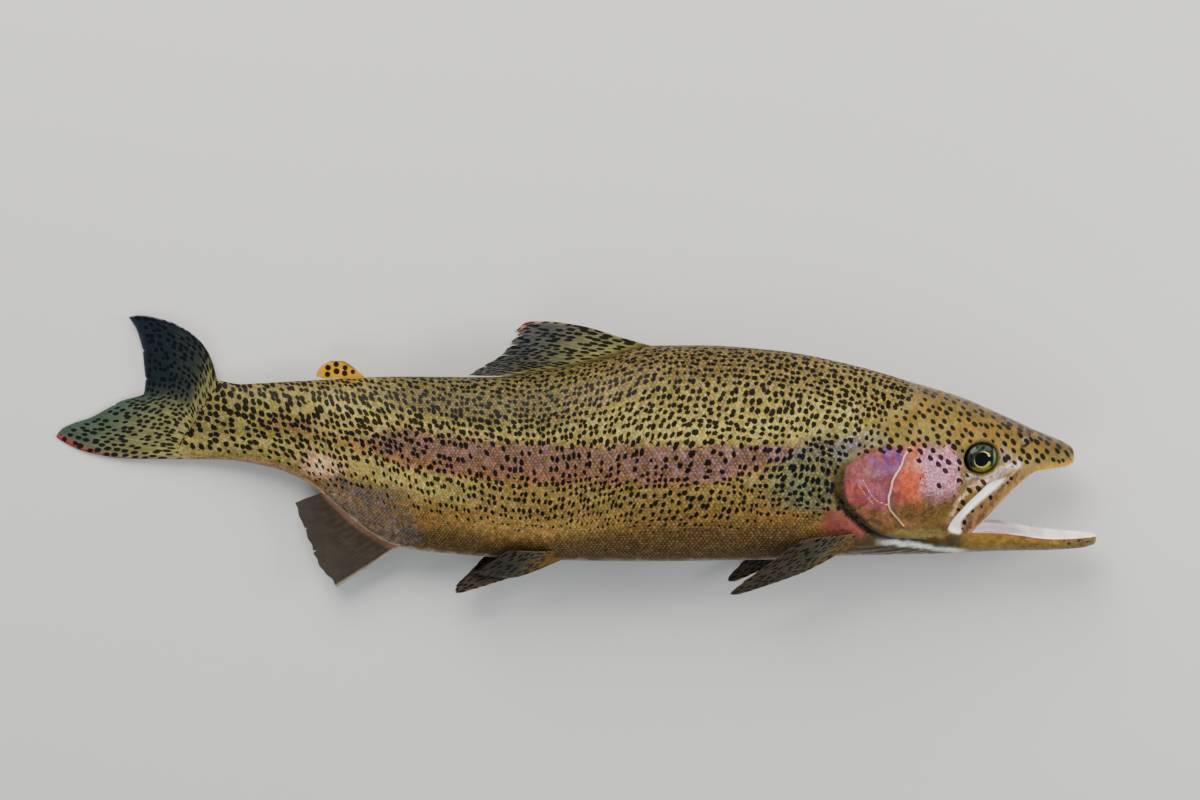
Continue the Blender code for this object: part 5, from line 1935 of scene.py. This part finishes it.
@dataclass
class Fin:
    """A thin fin stretched between four lines, ribbed by rays that fork towards the tip.

    u runs from root (0) to tip (1) along the rays, v from the first ray (0) to the last (1).
    The lines are the root, the tips, the first ray and the last.
    """

    name: str
    rays: int
    thick: tuple[float, float]
    paint: FinPaint
    lines: tuple[Points, Points, Points, Points] | None = None
    nodes: tuple[str, ...] = ()
    root: float = 4.0
    ragged: float = 0.02
    splits: tuple[tuple[float, float], ...] = ()
    wave: float = 0.0
    dash: tuple[float, float] = (6.0, 20.0)
    size: tuple[int, int] = (64, 220)
    seed: int = 1

    def flat(self, u: Array, v: Array) -> Array:
        """Stations and heights between the four lines: the Coons patch of the lines."""
        base, tips, front, rear = self.lines
        a, b, c, d = path(base, v), path(tips, v), path(front, u), path(rear, u)
        p00, p01, p10, p11 = (np.array(p, float) for p in (base[0], base[-1], tips[0], tips[-1]))
        u, v = u[..., None], v[..., None]
        corners = (1 - u) * (1 - v) * p00 + (1 - u) * v * p01 + u * (1 - v) * p10 + u * v * p11
        return (1 - u) * a + u * b + (1 - v) * c + v * d - corners

    def side(self, spot: Array, u: Array, v: Array) -> Array:
        """Distance of the fin's middle from the fish's middle plane."""
        return self.wave * u**1.5 * np.sin(2.6 * math.pi * v + 2.2 * u + self.seed)

    def ribs(self, u: Array, v: Array) -> Array:
        """The rays in relief, 0 to 1: a cosine across them whose count doubles at each fork."""
        twice = smooth(0.25, 0.5, u + 0.05 * np.sin(7 * v))
        again = smooth(0.58, 0.8, u + 0.05 * np.sin(9 * v))
        one, two, four = (0.5 + 0.5 * np.cos(2 * math.pi * self.rays * k * v) for k in (1, 2, 4))
        ridge = (one * (1 - twice) + two * twice) * (1 - again) + four * again
        return ridge * (0.9 + 0.1 * np.sin(2 * math.pi * 26 * u))

    def reach(self, u: Array, v: Array) -> Array:
        """How far out each point lies: u, cut back by the ragged edge and the splits."""
        cut = self.ragged * (0.5 + 0.5 * waves(v * 40, v * 0, 5.0, self.seed))
        cut = cut + 0.6 * self.ragged * (1 - self.ribs(np.ones_like(v), v))
        for middle, deep in self.splits:
            cut = cut + deep * np.exp(-np.abs(v - middle) / 0.006)
        return u * (1 - cut * smooth(0.3, 1.0, u))

    def half_thickness(self, u: Array, v: Array, ribs: Array) -> Array:
        """Half the thickness: thinner to the tips, ribbed, and rounded to 0 at the edges."""
        thick, thin = self.thick
        half = (thin + (thick - thin) * (1 - u) ** 1.4) * (0.86 + 0.14 * ribs)
        half = half * np.sqrt(np.clip((1 - u) / 0.05, 0, 1))
        half = half * np.sqrt(np.clip(np.minimum(v / 0.012, (1 - v) / 0.012), 0, 1))
        half[0] = 0.0
        return half

    def mesh(self) -> Mesh:
        """The fin as a closed shell: both faces meet along its edges."""
        rows, columns = self.size
        u, v = np.broadcast_arrays(
            np.linspace(0, 1, rows)[:, None], np.linspace(0, 1, columns)[None]
        )
        spot = self.flat(self.reach(u, v), v)
        inward = self.flat(np.full_like(v, 0.06), v) - self.flat(np.zeros_like(v), v)
        inward /= np.linalg.norm(inward, axis=-1, keepdims=True)
        spot = spot - inward * (self.root * (1 - u) ** 8)[..., None]
        ribs = self.ribs(u, v)
        half = self.half_thickness(u, v, ribs)
        values = self.paint(u, v, spot[..., 0], spot[..., 1])
        length = np.linalg.norm(np.diff(spot, axis=0), axis=2).sum(axis=0).mean()
        width = np.linalg.norm(np.diff(spot, axis=1), axis=2).sum(axis=1)[rows // 2]
        values["place"] = np.stack([u * length, v * width, 0 * u + 7 * self.seed], -1) / 10.0
        values["cells"] = np.stack([u * length / self.dash[0], v * self.dash[1], 0 * u], -1)
        rays = ribs * smooth(0.02, 0.2, u)
        values["marks"] = np.stack([values.pop("spots"), rays, values.pop("clear")], -1)
        upper = np.concatenate([spot, self.side(spot, u, v)[..., None]], -1)
        lower = upper.copy()
        upper[..., 2] += half
        lower[..., 2] -= half
        turned = {key: value[:, ::-1] for key, value in values.items()}
        return Mesh.join([Mesh.grid(upper, **values), Mesh.grid(lower[:, ::-1], **turned)]).weld()


@dataclass
class PairedFin(Fin):
    """A pectoral or pelvic fin, that drapes along the body or lies on the floor."""

    form: Form | None = None
    hand: float = 1.0
    start: tuple[float, float] = (0.0, 0.0)
    lean: float = 0.0
    length: float = 0.0
    spans: tuple[float, float] = (0.0, 0.0)
    belly_room: float = 0.0
    rise: float = 0.0
    sunk: float = 2.6
    over_floor: float = 0.9

    def flat(self, u: Array, v: Array) -> Array:
        """Rays that fan out from a short root; the first is the longest."""
        lean = math.radians(self.lean)
        reach = self.length * (1 - 0.46 * v**1.8 - 0.1 * np.exp(-v / 0.07)) * u
        span = self.spans[0] + (self.spans[1] - self.spans[0]) * (u + 0.12 * np.sin(math.pi * u))
        across = (v - 0.5) * span - 3.0 * np.sin(math.pi * v) * u
        station = self.start[0] + reach * math.cos(lean) + across * math.sin(lean)
        height = self.start[1] + reach * math.sin(lean) + across * math.cos(lean)
        return np.stack([station, height], -1)

    def side(self, spot: Array, u: Array, v: Array) -> Array:
        """On the right, over a section with a deeper belly; on the left, down to the floor."""
        station, height = spot[..., 0], spot[..., 1]
        middle, belly = curve(self.form.widest, station), curve(self.form.belly, station)
        share = np.clip((middle - height) / (middle - belly + self.belly_room), 0, 0.995)
        out = curve(self.form.width, station) * (1 - share**2.2) ** (1 / 2.2)
        skin = self.form.half_width(station, np.maximum(height, belly + 5.0)) - self.sunk
        drape = out + self.rise + 0.4 * np.sin(9 * v) * u
        out = skin + (drape - skin) * smooth(0.0, 0.5, u)
        if self.hand > 0:
            return out
        lowest = self.over_floor - curve(self.form.plane, station)
        return np.maximum(-out, lowest + 6.0 * smooth(0.3, 0.0, u))


def fin_paint(
    base: Hue, far: Hue, spots: Spread, layers: FinLayers, clear: float = 1.0
) -> FinPaint:
    """Makes a fin's paint.

    Args:
        base: The colour at the root.
        far: The colour at the tips.
        spots: Gives the size of the spots from u and v.
        layers: Gives the layers on top from u, v, station and height.
        clear: How much the web covers what lies behind it.

    Returns:
        A function from u, v, station and height to the fin's named values.
    """

    def made(u: Array, v: Array, station: Array, height: Array) -> dict[str, Array]:
        """Tint, size of the spots and cover of a fin's points."""
        flat = [w.ravel() for w in (u, v, station, height)]
        paint = Paint.of(base, u.size)
        paint.lay((far, smooth(0.1, 0.9, flat[0]), 1.0), *layers(*flat))
        cover = clear + (1 - clear) * smooth(0.6, 0.1, u)
        return {"tint": paint.colour.reshape(*u.shape, 3), "spots": spots(u, v), "clear": cover}

    return made


def caudal_layers(u: Array, v: Array, x: Array, y: Array) -> list[Layer]:
    """The tail fin: dark above, partly painted shade, yellower below, a red lower edge, pale rims.
    """
    lower = smooth(0.36, 0.6, v)
    return [
        # The upper lobe's dark is partly painted shade.
        (Hue.TAIL_GREY_AND_SHADE, (1 - lower) * smooth(0.0, 0.4, u), 0.7),
        (Hue.FIN_OLIVE, lower, 0.8),
        (Hue.SEA_GREEN, lower * smooth(0.2, 0.8, u), 0.5),
        (Hue.YELLOW_GREEN, lower * smooth(1.0, 0.2, u), 0.4),
        (Hue.YELLOW_GREEN, smooth(0.3, 0.0, u), 0.6),
        (Hue.FLESH_RED, smooth(0.955, 0.99, v) * smooth(0.35, 0.8, u), 0.8),
        (Hue.LILAC, smooth(0.965, 0.995, v) * smooth(0.8, 0.3, u), 0.6),
        (Hue.SPOT, smooth(0.035, 0.012, v), 0.6),
        (Hue.BLUE_SILVER, smooth(0.01, 0.0, v) * smooth(0.3, 0.5, u), 0.7),
        (Hue.SLATE, smooth(0.93, 1.0, u), 0.4),
        (Hue.BLUE_SILVER, smooth(0.985, 0.998, u) * (1 - lower), 0.5),
    ]


def dorsal_layers(u: Array, v: Array, x: Array, y: Array) -> list[Layer]:
    """The dorsal fin: yellow along its root, painted shade in its rear middle, an orange tip in
    front, pale torn tips behind.
    """
    return [
        (Hue.SLATE, smooth(0.1, 0.8, u), 0.55),
        (Hue.YELLOW_GREEN, smooth(0.75, 0.1, u) * smooth(0.7, 0.2, v), 0.4),
        (Hue.YELLOW_GREEN, smooth(0.25, 0.05, u), 0.55),
        # Painted shade across the middle of the fin's rear part.
        (Hue.DARK_OLIVE, bell(u, 0.35, 0.2) * smooth(0.4, 0.7, v), 0.4),
        (Hue.DARK_OLIVE, bell(u, 0.04, 0.06), 0.85),
        (Hue.PINK_TAN, smooth(0.05, 0.0, v) * smooth(0.5, 0.8, u), 0.6),
        (Hue.PINK_TAN, smooth(0.18, 0.02, v) * smooth(0.85, 0.97, u), 0.8),
        (Hue.ORANGE, smooth(0.14, 0.0, v) * smooth(0.86, 0.98, u), 0.4),
        (Hue.PINK_TAN, smooth(0.95, 1.0, u), 0.6),
    ]


def anal_layers(u: Array, v: Array, x: Array, y: Array) -> list[Layer]:
    """The anal fin: pinkish white at its root and along its first ray."""
    return [
        (Hue.PINK_TAN, smooth(0.14, 0.02, u), 0.85), (Hue.PALE_BELLY, smooth(0.05, 0.0, v), 0.7),
    ]


# Station, height and radius of the spots of the adipose fin.
ADIPOSE_SPOTS = (
    (437.6, 47.2, 1.1), (442.3, 49.6, 1.3), (442.6, 46.2, 1.5), (447.8, 51.6, 1.4),
    (447.6, 47.3, 1.6), (452.8, 49.4, 1.5), (453.2, 45.3, 1.4),
)


def adipose_layers(u: Array, v: Array, x: Array, y: Array) -> list[Layer]:
    """The small fatty fin: orange, dark along its front, with a few round spots."""
    spots = [
        (Hue.SPOT, smooth(r + 0.5, r + 0.15, np.hypot(x - sx, y - sy)), 0.98)
        for sx, sy, r in ADIPOSE_SPOTS
    ]
    return [(Hue.DARK_OLIVE, smooth(0.12, 0.0, v) * smooth(0.1, 0.5, u), 0.8), *spots]


def paired_layers(u: Array, v: Array, x: Array, y: Array) -> list[Layer]:
    """A paired fin: pale first ray, golden brown near the body."""
    return [
        (Hue.CREAM, smooth(0.05, 0.0, v) * smooth(0.1, 0.3, u), 0.4),
        (Hue.GOLD_BROWN, smooth(0.5, 0.1, u), 0.85),
    ]


def no_spots(u: Array, v: Array) -> Array:
    """Spots of no size."""
    return 0.0 * u


def caudal_spots(u: Array, v: Array) -> Array:
    """Spots a little larger on the lower lobe, none at the very edge."""
    return (1.12 + 0.12 * smooth(0.4, 0.6, v)) * smooth(1.02, 0.9, u)


def caudal_fin() -> Fin:
    """The tail fin, over both of its solids."""
    top, fork, end, tip = (521.5, 41.0), (576, 78.7), (622.8, 4.5), (552.5, -9.2)
    edge = (
        fork, (571.2, 70), (568.2, 60), (567, 49.2), (566.6, 40), (567.6, 31.4), (573, 29.3),
        (581.8, 26.7), (600.7, 16.5), (618.2, 10.1), end,
    )
    first = (top, (525.5, 56.0), (534.4, 67.5), (552.6, 77.1), (567.9, 80.0), fork)
    last = (tip, (576.7, -9.5), (601.4, -6.0), (619.8, 2.0), end)
    return Fin(
        "caudal_fin", 19, (2.4, 0.5),
        fin_paint(Hue.FIN_OLIVE, Hue.TAIL_GREY_AND_SHADE, caudal_spots, caudal_layers),
        ((top, (538, 19.0), tip), edge, first, last),
        nodes=("caudal_fin_upper", "caudal_fin_lower"), root=9.0, ragged=0.014,
        size=(60, 460), seed=2, dash=(4.6, 27.0), splits=((0.2, 0.02), (0.36, 0.03), (0.62, 0.02)),
    )


def dorsal_fin() -> Fin:
    """The fin of the back, torn along its edge."""
    front, tip, end, rear = (257.6, 65.5), (338.3, 75.9), (368.1, 46.4), (350, 46.2)
    return Fin(
        "dorsal_fin", 14, (1.7, 0.4),
        fin_paint(
            Hue.FIN_OLIVE, Hue.JAW_GREY, lambda u, v: 1.3 * smooth(0.05, 0.12, u), dorsal_layers
        ),
        (
            (front, (288, 57.2), (318, 51.0), rear),
            (tip, (341.9, 68), (349.8, 57.5), (360, 51.2), end),
            (front, (275.7, 70.6), (299.7, 77.4), (320.8, 79.8), (330, 79.6), tip),
            (rear, (359, 46.0), end),
        ),
        ragged=0.05, wave=1.2, size=(56, 360), seed=3, dash=(4.4, 21.0),
        splits=((0.2, 0.1), (0.34, 0.14), (0.52, 0.2), (0.66, 0.12), (0.8, 0.14)),
    )


def anal_fin() -> Fin:
    """The fin under the tail's stalk."""
    front, tip, end, rear = (412, -61.8), (450, -88.0), (475, -35.0), (459, -29.0)
    return Fin(
        "anal_fin", 13, (1.5, 0.35),
        fin_paint(Hue.FIN_BROWN, Hue.FIN_BROWN, no_spots, anal_layers, 0.84),
        (
            (front, (436, -48.4), rear), (tip, (461, -74.0), (469, -54.0), end),
            (front, (430, -75.0), tip), (rear, (467, -31.6), end),
        ),
        ragged=0.03, wave=1.0, size=(50, 320), seed=4, splits=((0.45, 0.08), (0.7, 0.06)),
    )


def adipose_fin() -> Fin:
    """The small fatty fin behind the fin of the back; it has no rays."""
    front, tip, end, rear = (431, 44.4), (451, 53.6), (456.4, 42.6), (450, 42.8)
    return Fin(
        "adipose_fin", 0, (1.4, 0.6), fin_paint(Hue.LIP, Hue.LIP, no_spots, adipose_layers),
        (
            (front, (440, 43.8), rear), (tip, (457.5, 50), (460.2, 44.4), end),
            (front, (438, 50.4), (444, 53.6), tip), (rear, (453, 42.4), end),
        ),
        root=3.0, ragged=0.0, size=(72, 110), seed=5,
    )


def all_fins(form: Form) -> list[Fin]:
    """Every fin of the fish."""
    blade = fin_paint(
        Hue.FIN_OLIVE, Hue.FIN_BROWN, lambda u, v: 0.95 * smooth(0.05, 0.2, u), paired_layers, 0.95
    )
    fins = [caudal_fin(), dorsal_fin(), anal_fin(), adipose_fin()]
    for hand, side in SIDES:
        fins += [
            PairedFin(
                "pectoral_fin_" + side, 14, (1.5, 0.4), blade, form=form, hand=hand,
                start=(129.5, -48.6), lean=-17.0, length=83.0, spans=(8.0, 30.0),
                belly_room=26.0, rise=1.6, size=(50, 240), seed=6, dash=(5.2, 10.0),
            ),
            PairedFin(
                "pelvic_fin_" + side, 10, (1.4, 0.4), blade, form=form, hand=hand,
                start=(312.5, -61.8), lean=-13.0, length=66.0, spans=(7.0, 27.0),
                belly_room=12.0, rise=1.4, size=(44, 200), seed=7, dash=(5.2, 8.0),
            ),
        ]
    return fins


# ---- eyes, teeth and tongue
@dataclass(frozen=True)
class Eyeball:
    """A flattened ball: wide * sin a * cos b, tall * sin a * sin b, deep * cos a."""

    wide: float = 10.3
    tall: float = 9.5
    deep: float = 6.8
    proud: float = 2.4

    def mesh(self, form: Form, hand: float) -> Mesh:
        """Works out an eye, set square to the skin.

        Args:
            form: The fish's form.
            hand: 1 on its right, -1 on its left.

        Returns:
            The ball in fish measures, with its front, up and outward distances as disc.
        """
        ex, ey = HEAD.eye
        skin, ahead, behind = form.half_width(ex + np.array([0.0, 4.0, -4.0]), np.full(3, ey))
        a = np.linspace(0, math.pi, 40)[:, None]
        b = np.linspace(0, 2 * math.pi, 72, endpoint=False)[None]
        x, y = self.wide * np.sin(a) * np.cos(b), self.tall * np.sin(a) * np.sin(b)
        z = (skin + self.proud - self.deep + self.deep * np.cos(a)) + 0 * b
        tilt = (ahead - behind) / 8
        points = np.stack([ex + x, ey + y, hand * (z + 0.8 * tilt * x)], -1)
        disc = np.stack([-x, y, np.hypot(x, y)], -1)
        return Mesh.grid(points, ring=True, disc=disc).weld()


def cones(roots: Array, tips: Array, radius: Array, sides: int = 7) -> Mesh:
    """Closed cones from roots to tips, all worked out at once.

    Args:
        roots: (n, 3) middles of the bases.
        tips: (n, 3) points of the cones.
        radius: (n,) radii of the bases.
        sides: Sides of each.

    Returns:
        The cones as one mesh.
    """
    turn = np.linspace(0, 2 * math.pi, sides, endpoint=False)
    ring = np.stack([np.cos(turn), 0 * turn, np.sin(turn)], -1)
    base = roots[:, None] + ring * radius[:, None, None]
    waist = 0.55 * base + 0.45 * tips[:, None] + 0.12 * (base - roots[:, None])
    points = np.concatenate([base, waist, tips[:, None], roots[:, None]], 1)
    count, each = len(roots), 2 * sides + 2
    i = np.arange(sides)
    n = (i + 1) % sides
    top, low = np.full(sides, 2 * sides), np.full(sides, 2 * sides + 1)
    face = np.concatenate([
        np.stack([i, n, sides + n, sides + i], -1),
        np.stack([sides + i, sides + n, top, top], -1), np.stack([n, i, low, low], -1),
    ])
    faces = (face[None] + each * np.arange(count)[:, None, None]).reshape(-1, 4)
    return Mesh(points.reshape(-1, 3), faces)


@dataclass(frozen=True)
class Teeth:
    """The small pointed teeth along both jaws."""

    radius: float = 0.68
    shortest: float = 1.7
    longest: float = 2.6
    uneven: float = 0.4
    seed: int = 5
    # Whether a row is on the upper jaw, its first and last station and its number of teeth,
    # how far in the jaw's wall it stands, and the size of its teeth.
    rows: tuple[tuple[bool, tuple[float, float, int], float, float], ...] = (
        (True, (3.5, 24, 10), 0.5, 1.0), (True, (27, 60, 24), 0.4, 1.1),
        (False, (-12.0, 33, 21), 0.5, 1.0),
    )

    def mesh(self, form: Form) -> Mesh:
        """The teeth of both sides, which point down from the upper jaw and up from the lower."""
        rng = np.random.default_rng(self.seed)
        made = []
        for upper, run, share, grow in self.rows:
            for hand, _ in SIDES:
                x = np.linspace(*run)
                x = x + rng.uniform(-self.uneven, self.uneven, len(x))
                if upper:
                    y, wall, way = curve(HEAD.upper_edge, x), HEAD.upper_wall, -1.0
                    w = form.half_width(x, y)
                else:
                    y, wall, way = curve(HEAD.lower_rim, x), HEAD.lower_wall, 1.0
                    w = curve(HEAD.lower_width, x)
                w = w - share * HEAD.thickness(wall, w)
                length = grow * rng.uniform(self.shortest, self.longest, len(x))
                root = np.stack([x, y - way * 0.9, hand * w], -1)
                tip = np.stack([x + 0.7, y + way * length, hand * (w - 0.35)], -1)
                made.append((root, tip, self.radius * grow * np.ones(len(x))))
        return cones(*(np.concatenate([row[k] for row in made]) for k in range(3)))


@dataclass(frozen=True)
class Tongue:
    """A flat tongue in the trough of the lower jaw: rounded sections, fullest behind."""

    first: float = 6.0
    length: float = 52.0
    half_width: float = 7.5
    half_height: float = 2.0
    sides: int = 48

    def mesh(self) -> Mesh:
        """The tongue, with a groove along the middle of its top."""
        t = np.linspace(0, 1, 60)[:, None]
        a = np.linspace(0, 2 * math.pi, self.sides, endpoint=False)[None]
        station = self.first + self.length * t
        rim, low = curve(HEAD.lower_rim, station), curve(HEAD.lower_bottom, station)
        size = np.sin(math.pi * (0.62 * t)) ** 0.55 * (1 - smooth(0.9, 1.0, t) * 0.4)
        side = self.half_width * size * np.cos(a)
        height = rim - 0.56 * (rim - low) + 0.4 + self.half_height * size * (1 + np.sin(a))
        height = height - 0.4 * np.cos(a) ** 8 * size
        height = height - 0.5 * bell(side, 0.0, 1.4) * (np.sin(a) > 0) * size
        points = np.stack(np.broadcast_arrays(station, height, side), -1)
        poles = [np.broadcast_to(points[k].mean(axis=0), (1, self.sides, 3)) for k in (0, -1)]
        return Mesh.grid(np.concatenate([poles[0], points, poles[1]]), ring=True).weld()


# ---- room and camera
def add_floor() -> None:
    """A plain pale floor."""
    made = Finish("pale floor", (205, 205, 203), 0.7).make()
    bpy.ops.mesh.primitive_plane_add(size=8)
    floor = bpy.context.object
    floor.name = "studio floor"
    floor.data.materials.append(made)


def add_light(
    name: str, place: Sequence[float], aim: Sequence[float], power: float, size: float,
    colour: tuple[float, float, float], glossy: bool = False,
) -> None:
    """A soft square light at a place, turned to an aim; unless glossy it leaves no gleam."""
    lamp = bpy.data.lights.new(name, "AREA")
    lamp.energy, lamp.size, lamp.color = power, size, colour
    made = bpy.data.objects.new(name, lamp)
    made.location = place
    made.rotation_euler = (Vector(aim) - made.location).to_track_quat("-Z", "Y").to_euler()
    made.visible_glossy = glossy
    bpy.context.scene.collection.objects.link(made)


def add_camera() -> None:
    """The camera over the fish, looking down and a little towards its belly."""
    lens = bpy.data.cameras.new("camera")
    lens.lens, lens.sensor_width = 85.0, 36.0
    made = bpy.data.objects.new("camera", lens)
    aim, lean, away = Vector((0.0158, 0.0369, 0.030)), math.radians(10.0), 1.709
    made.location = aim + away * Vector((0, math.sin(lean), math.cos(lean)))
    made.rotation_euler = (-lean, 0.0, 0.0)
    bpy.context.scene.collection.objects.link(made)
    bpy.context.scene.camera = made


def add_room() -> None:
    """Floor, camera, soft lights and a pale surround."""
    add_floor()
    add_camera()
    add_light("key light", (-0.35, 1.3, 1.0), (0.05, 0.0, 0.0), 47.5, 1.1, (1.0, 0.96, 0.9), True)
    add_light("fill light", (-0.7, -0.9, 1.1), (0.05, 0.0, 0.0), 8.2, 1.0, (0.92, 0.96, 1.0))
    add_light("front light", (1.3, 0.2, 0.55), (0.25, -0.02, 0.02), 19.0, 0.6, (1.0, 0.98, 0.95))
    world = bpy.data.worlds.new("pale surround")
    world.use_nodes = True
    sky = world.node_tree.nodes["Background"]
    sky.inputs["Color"].default_value = (0.86, 0.9, 0.95, 1)
    sky.inputs["Strength"].default_value = 0.375
    bpy.context.scene.world = world


# ---- pieces
@dataclass
class Builder:
    """Puts every piece of the trout in its place; floors are least heights in millimetres."""

    form: Form
    finish: Finishes
    skin_floor: float = 0.35
    scale_floor: float = 0.3
    most_lift: float = 0.25
    fin_floor: float = 0.15
    eye_floor: float = 0.3
    teeth_floor: float = 0.1
    tongue_floor: float = 0.6

    def place(
        self, name: str, shape: Mesh, floor: float | Array, material: bpy.types.Material,
        slot: str, *nodes: str,
    ) -> bpy.types.Object:
        """Lays a shape on the floor as a piece.

        Args:
            name: The piece's name.
            shape: Its mesh in fish measures.
            floor: Its least height above the floor, in millimetres.
            material: Its finish.
            slot: The slot that the finish belongs to; it is not used.
            nodes: The solids that it stands for.

        Returns:
            The piece.
        """
        laid = self.form.lay(shape.points, floor)
        return settle(make_object(name, laid, shape.faces, material, shape.values), slot, *nodes)

    def skin(self) -> None:
        """The skin of head and trunk; its values come from the plain body under the detail."""
        plain, detailed = Skin(self.form).build()
        flat, turn = plain.points, plain.values["turn"]
        detailed.values = FleshPaint(*flat.T, outer=plain.values["outer"]).values() | {
            "place": flat / 10.0, "crown_cells": crown_cells(flat[:, 0], turn),
            "cells": cells_of(flat[:, 0], turn),
        }
        self.place("trout_skin", detailed, self.skin_floor, self.finish.skin, "skin", *FLESH)

    def scales(self) -> None:
        """The scales, in four pieces: front and rear half of either side."""
        coat = Coat(self.form)
        for hand, side in SIDES:
            for part, half in enumerate(("front", "rear")):
                plates, places = coat.build(hand, part)
                rim = plates.values["plate"][:, 1] > 0.5
                rim[coat.UNDERSIDE::len(coat.LIFTS)] = False
                floor = self.scale_floor - np.minimum(plates.values.pop("lift"), self.most_lift)
                name = f"scales_{side}_{half}"
                piece = self.place(name, plates, floor, self.finish.scales, "skin")
                add_bake_places(piece, places)
                sharpen(piece.data, rim)

    def fins(self) -> None:
        """Every fin."""
        for fin in all_fins(self.form):
            slot = "adipose" if fin.name == "adipose_fin" else "fin"
            nodes = fin.nodes or (fin.name,)
            name = fin.name + "_web"
            self.place(name, fin.mesh(), self.fin_floor, self.finish.fin, slot, *nodes)

    def face(self) -> None:
        """Eyes, teeth and tongue."""
        for hand, side in SIDES:
            name, ball = "eyeball_" + side, Eyeball().mesh(self.form, hand)
            self.place(name, ball, self.eye_floor, self.finish.eye, "eye", "eye_" + side)
        teeth, tongue = Teeth().mesh(self.form), Tongue().mesh()
        self.place("teeth", teeth, self.teeth_floor, self.finish.tooth, "mouth")
        self.place(
            "tongue_flesh", tongue, self.tongue_floor, self.finish.tongue, "mouth", "tongue"
        )


def main() -> None:
    """Builds every piece of the trout in its place, and the room round it."""
    logging.basicConfig(level=logging.INFO, format="%(message)s")
    builder = Builder(Form(), Finishes())
    builder.skin()
    builder.scales()
    builder.fins()
    builder.face()
    add_room()


if __name__ == "__main__":
    main()
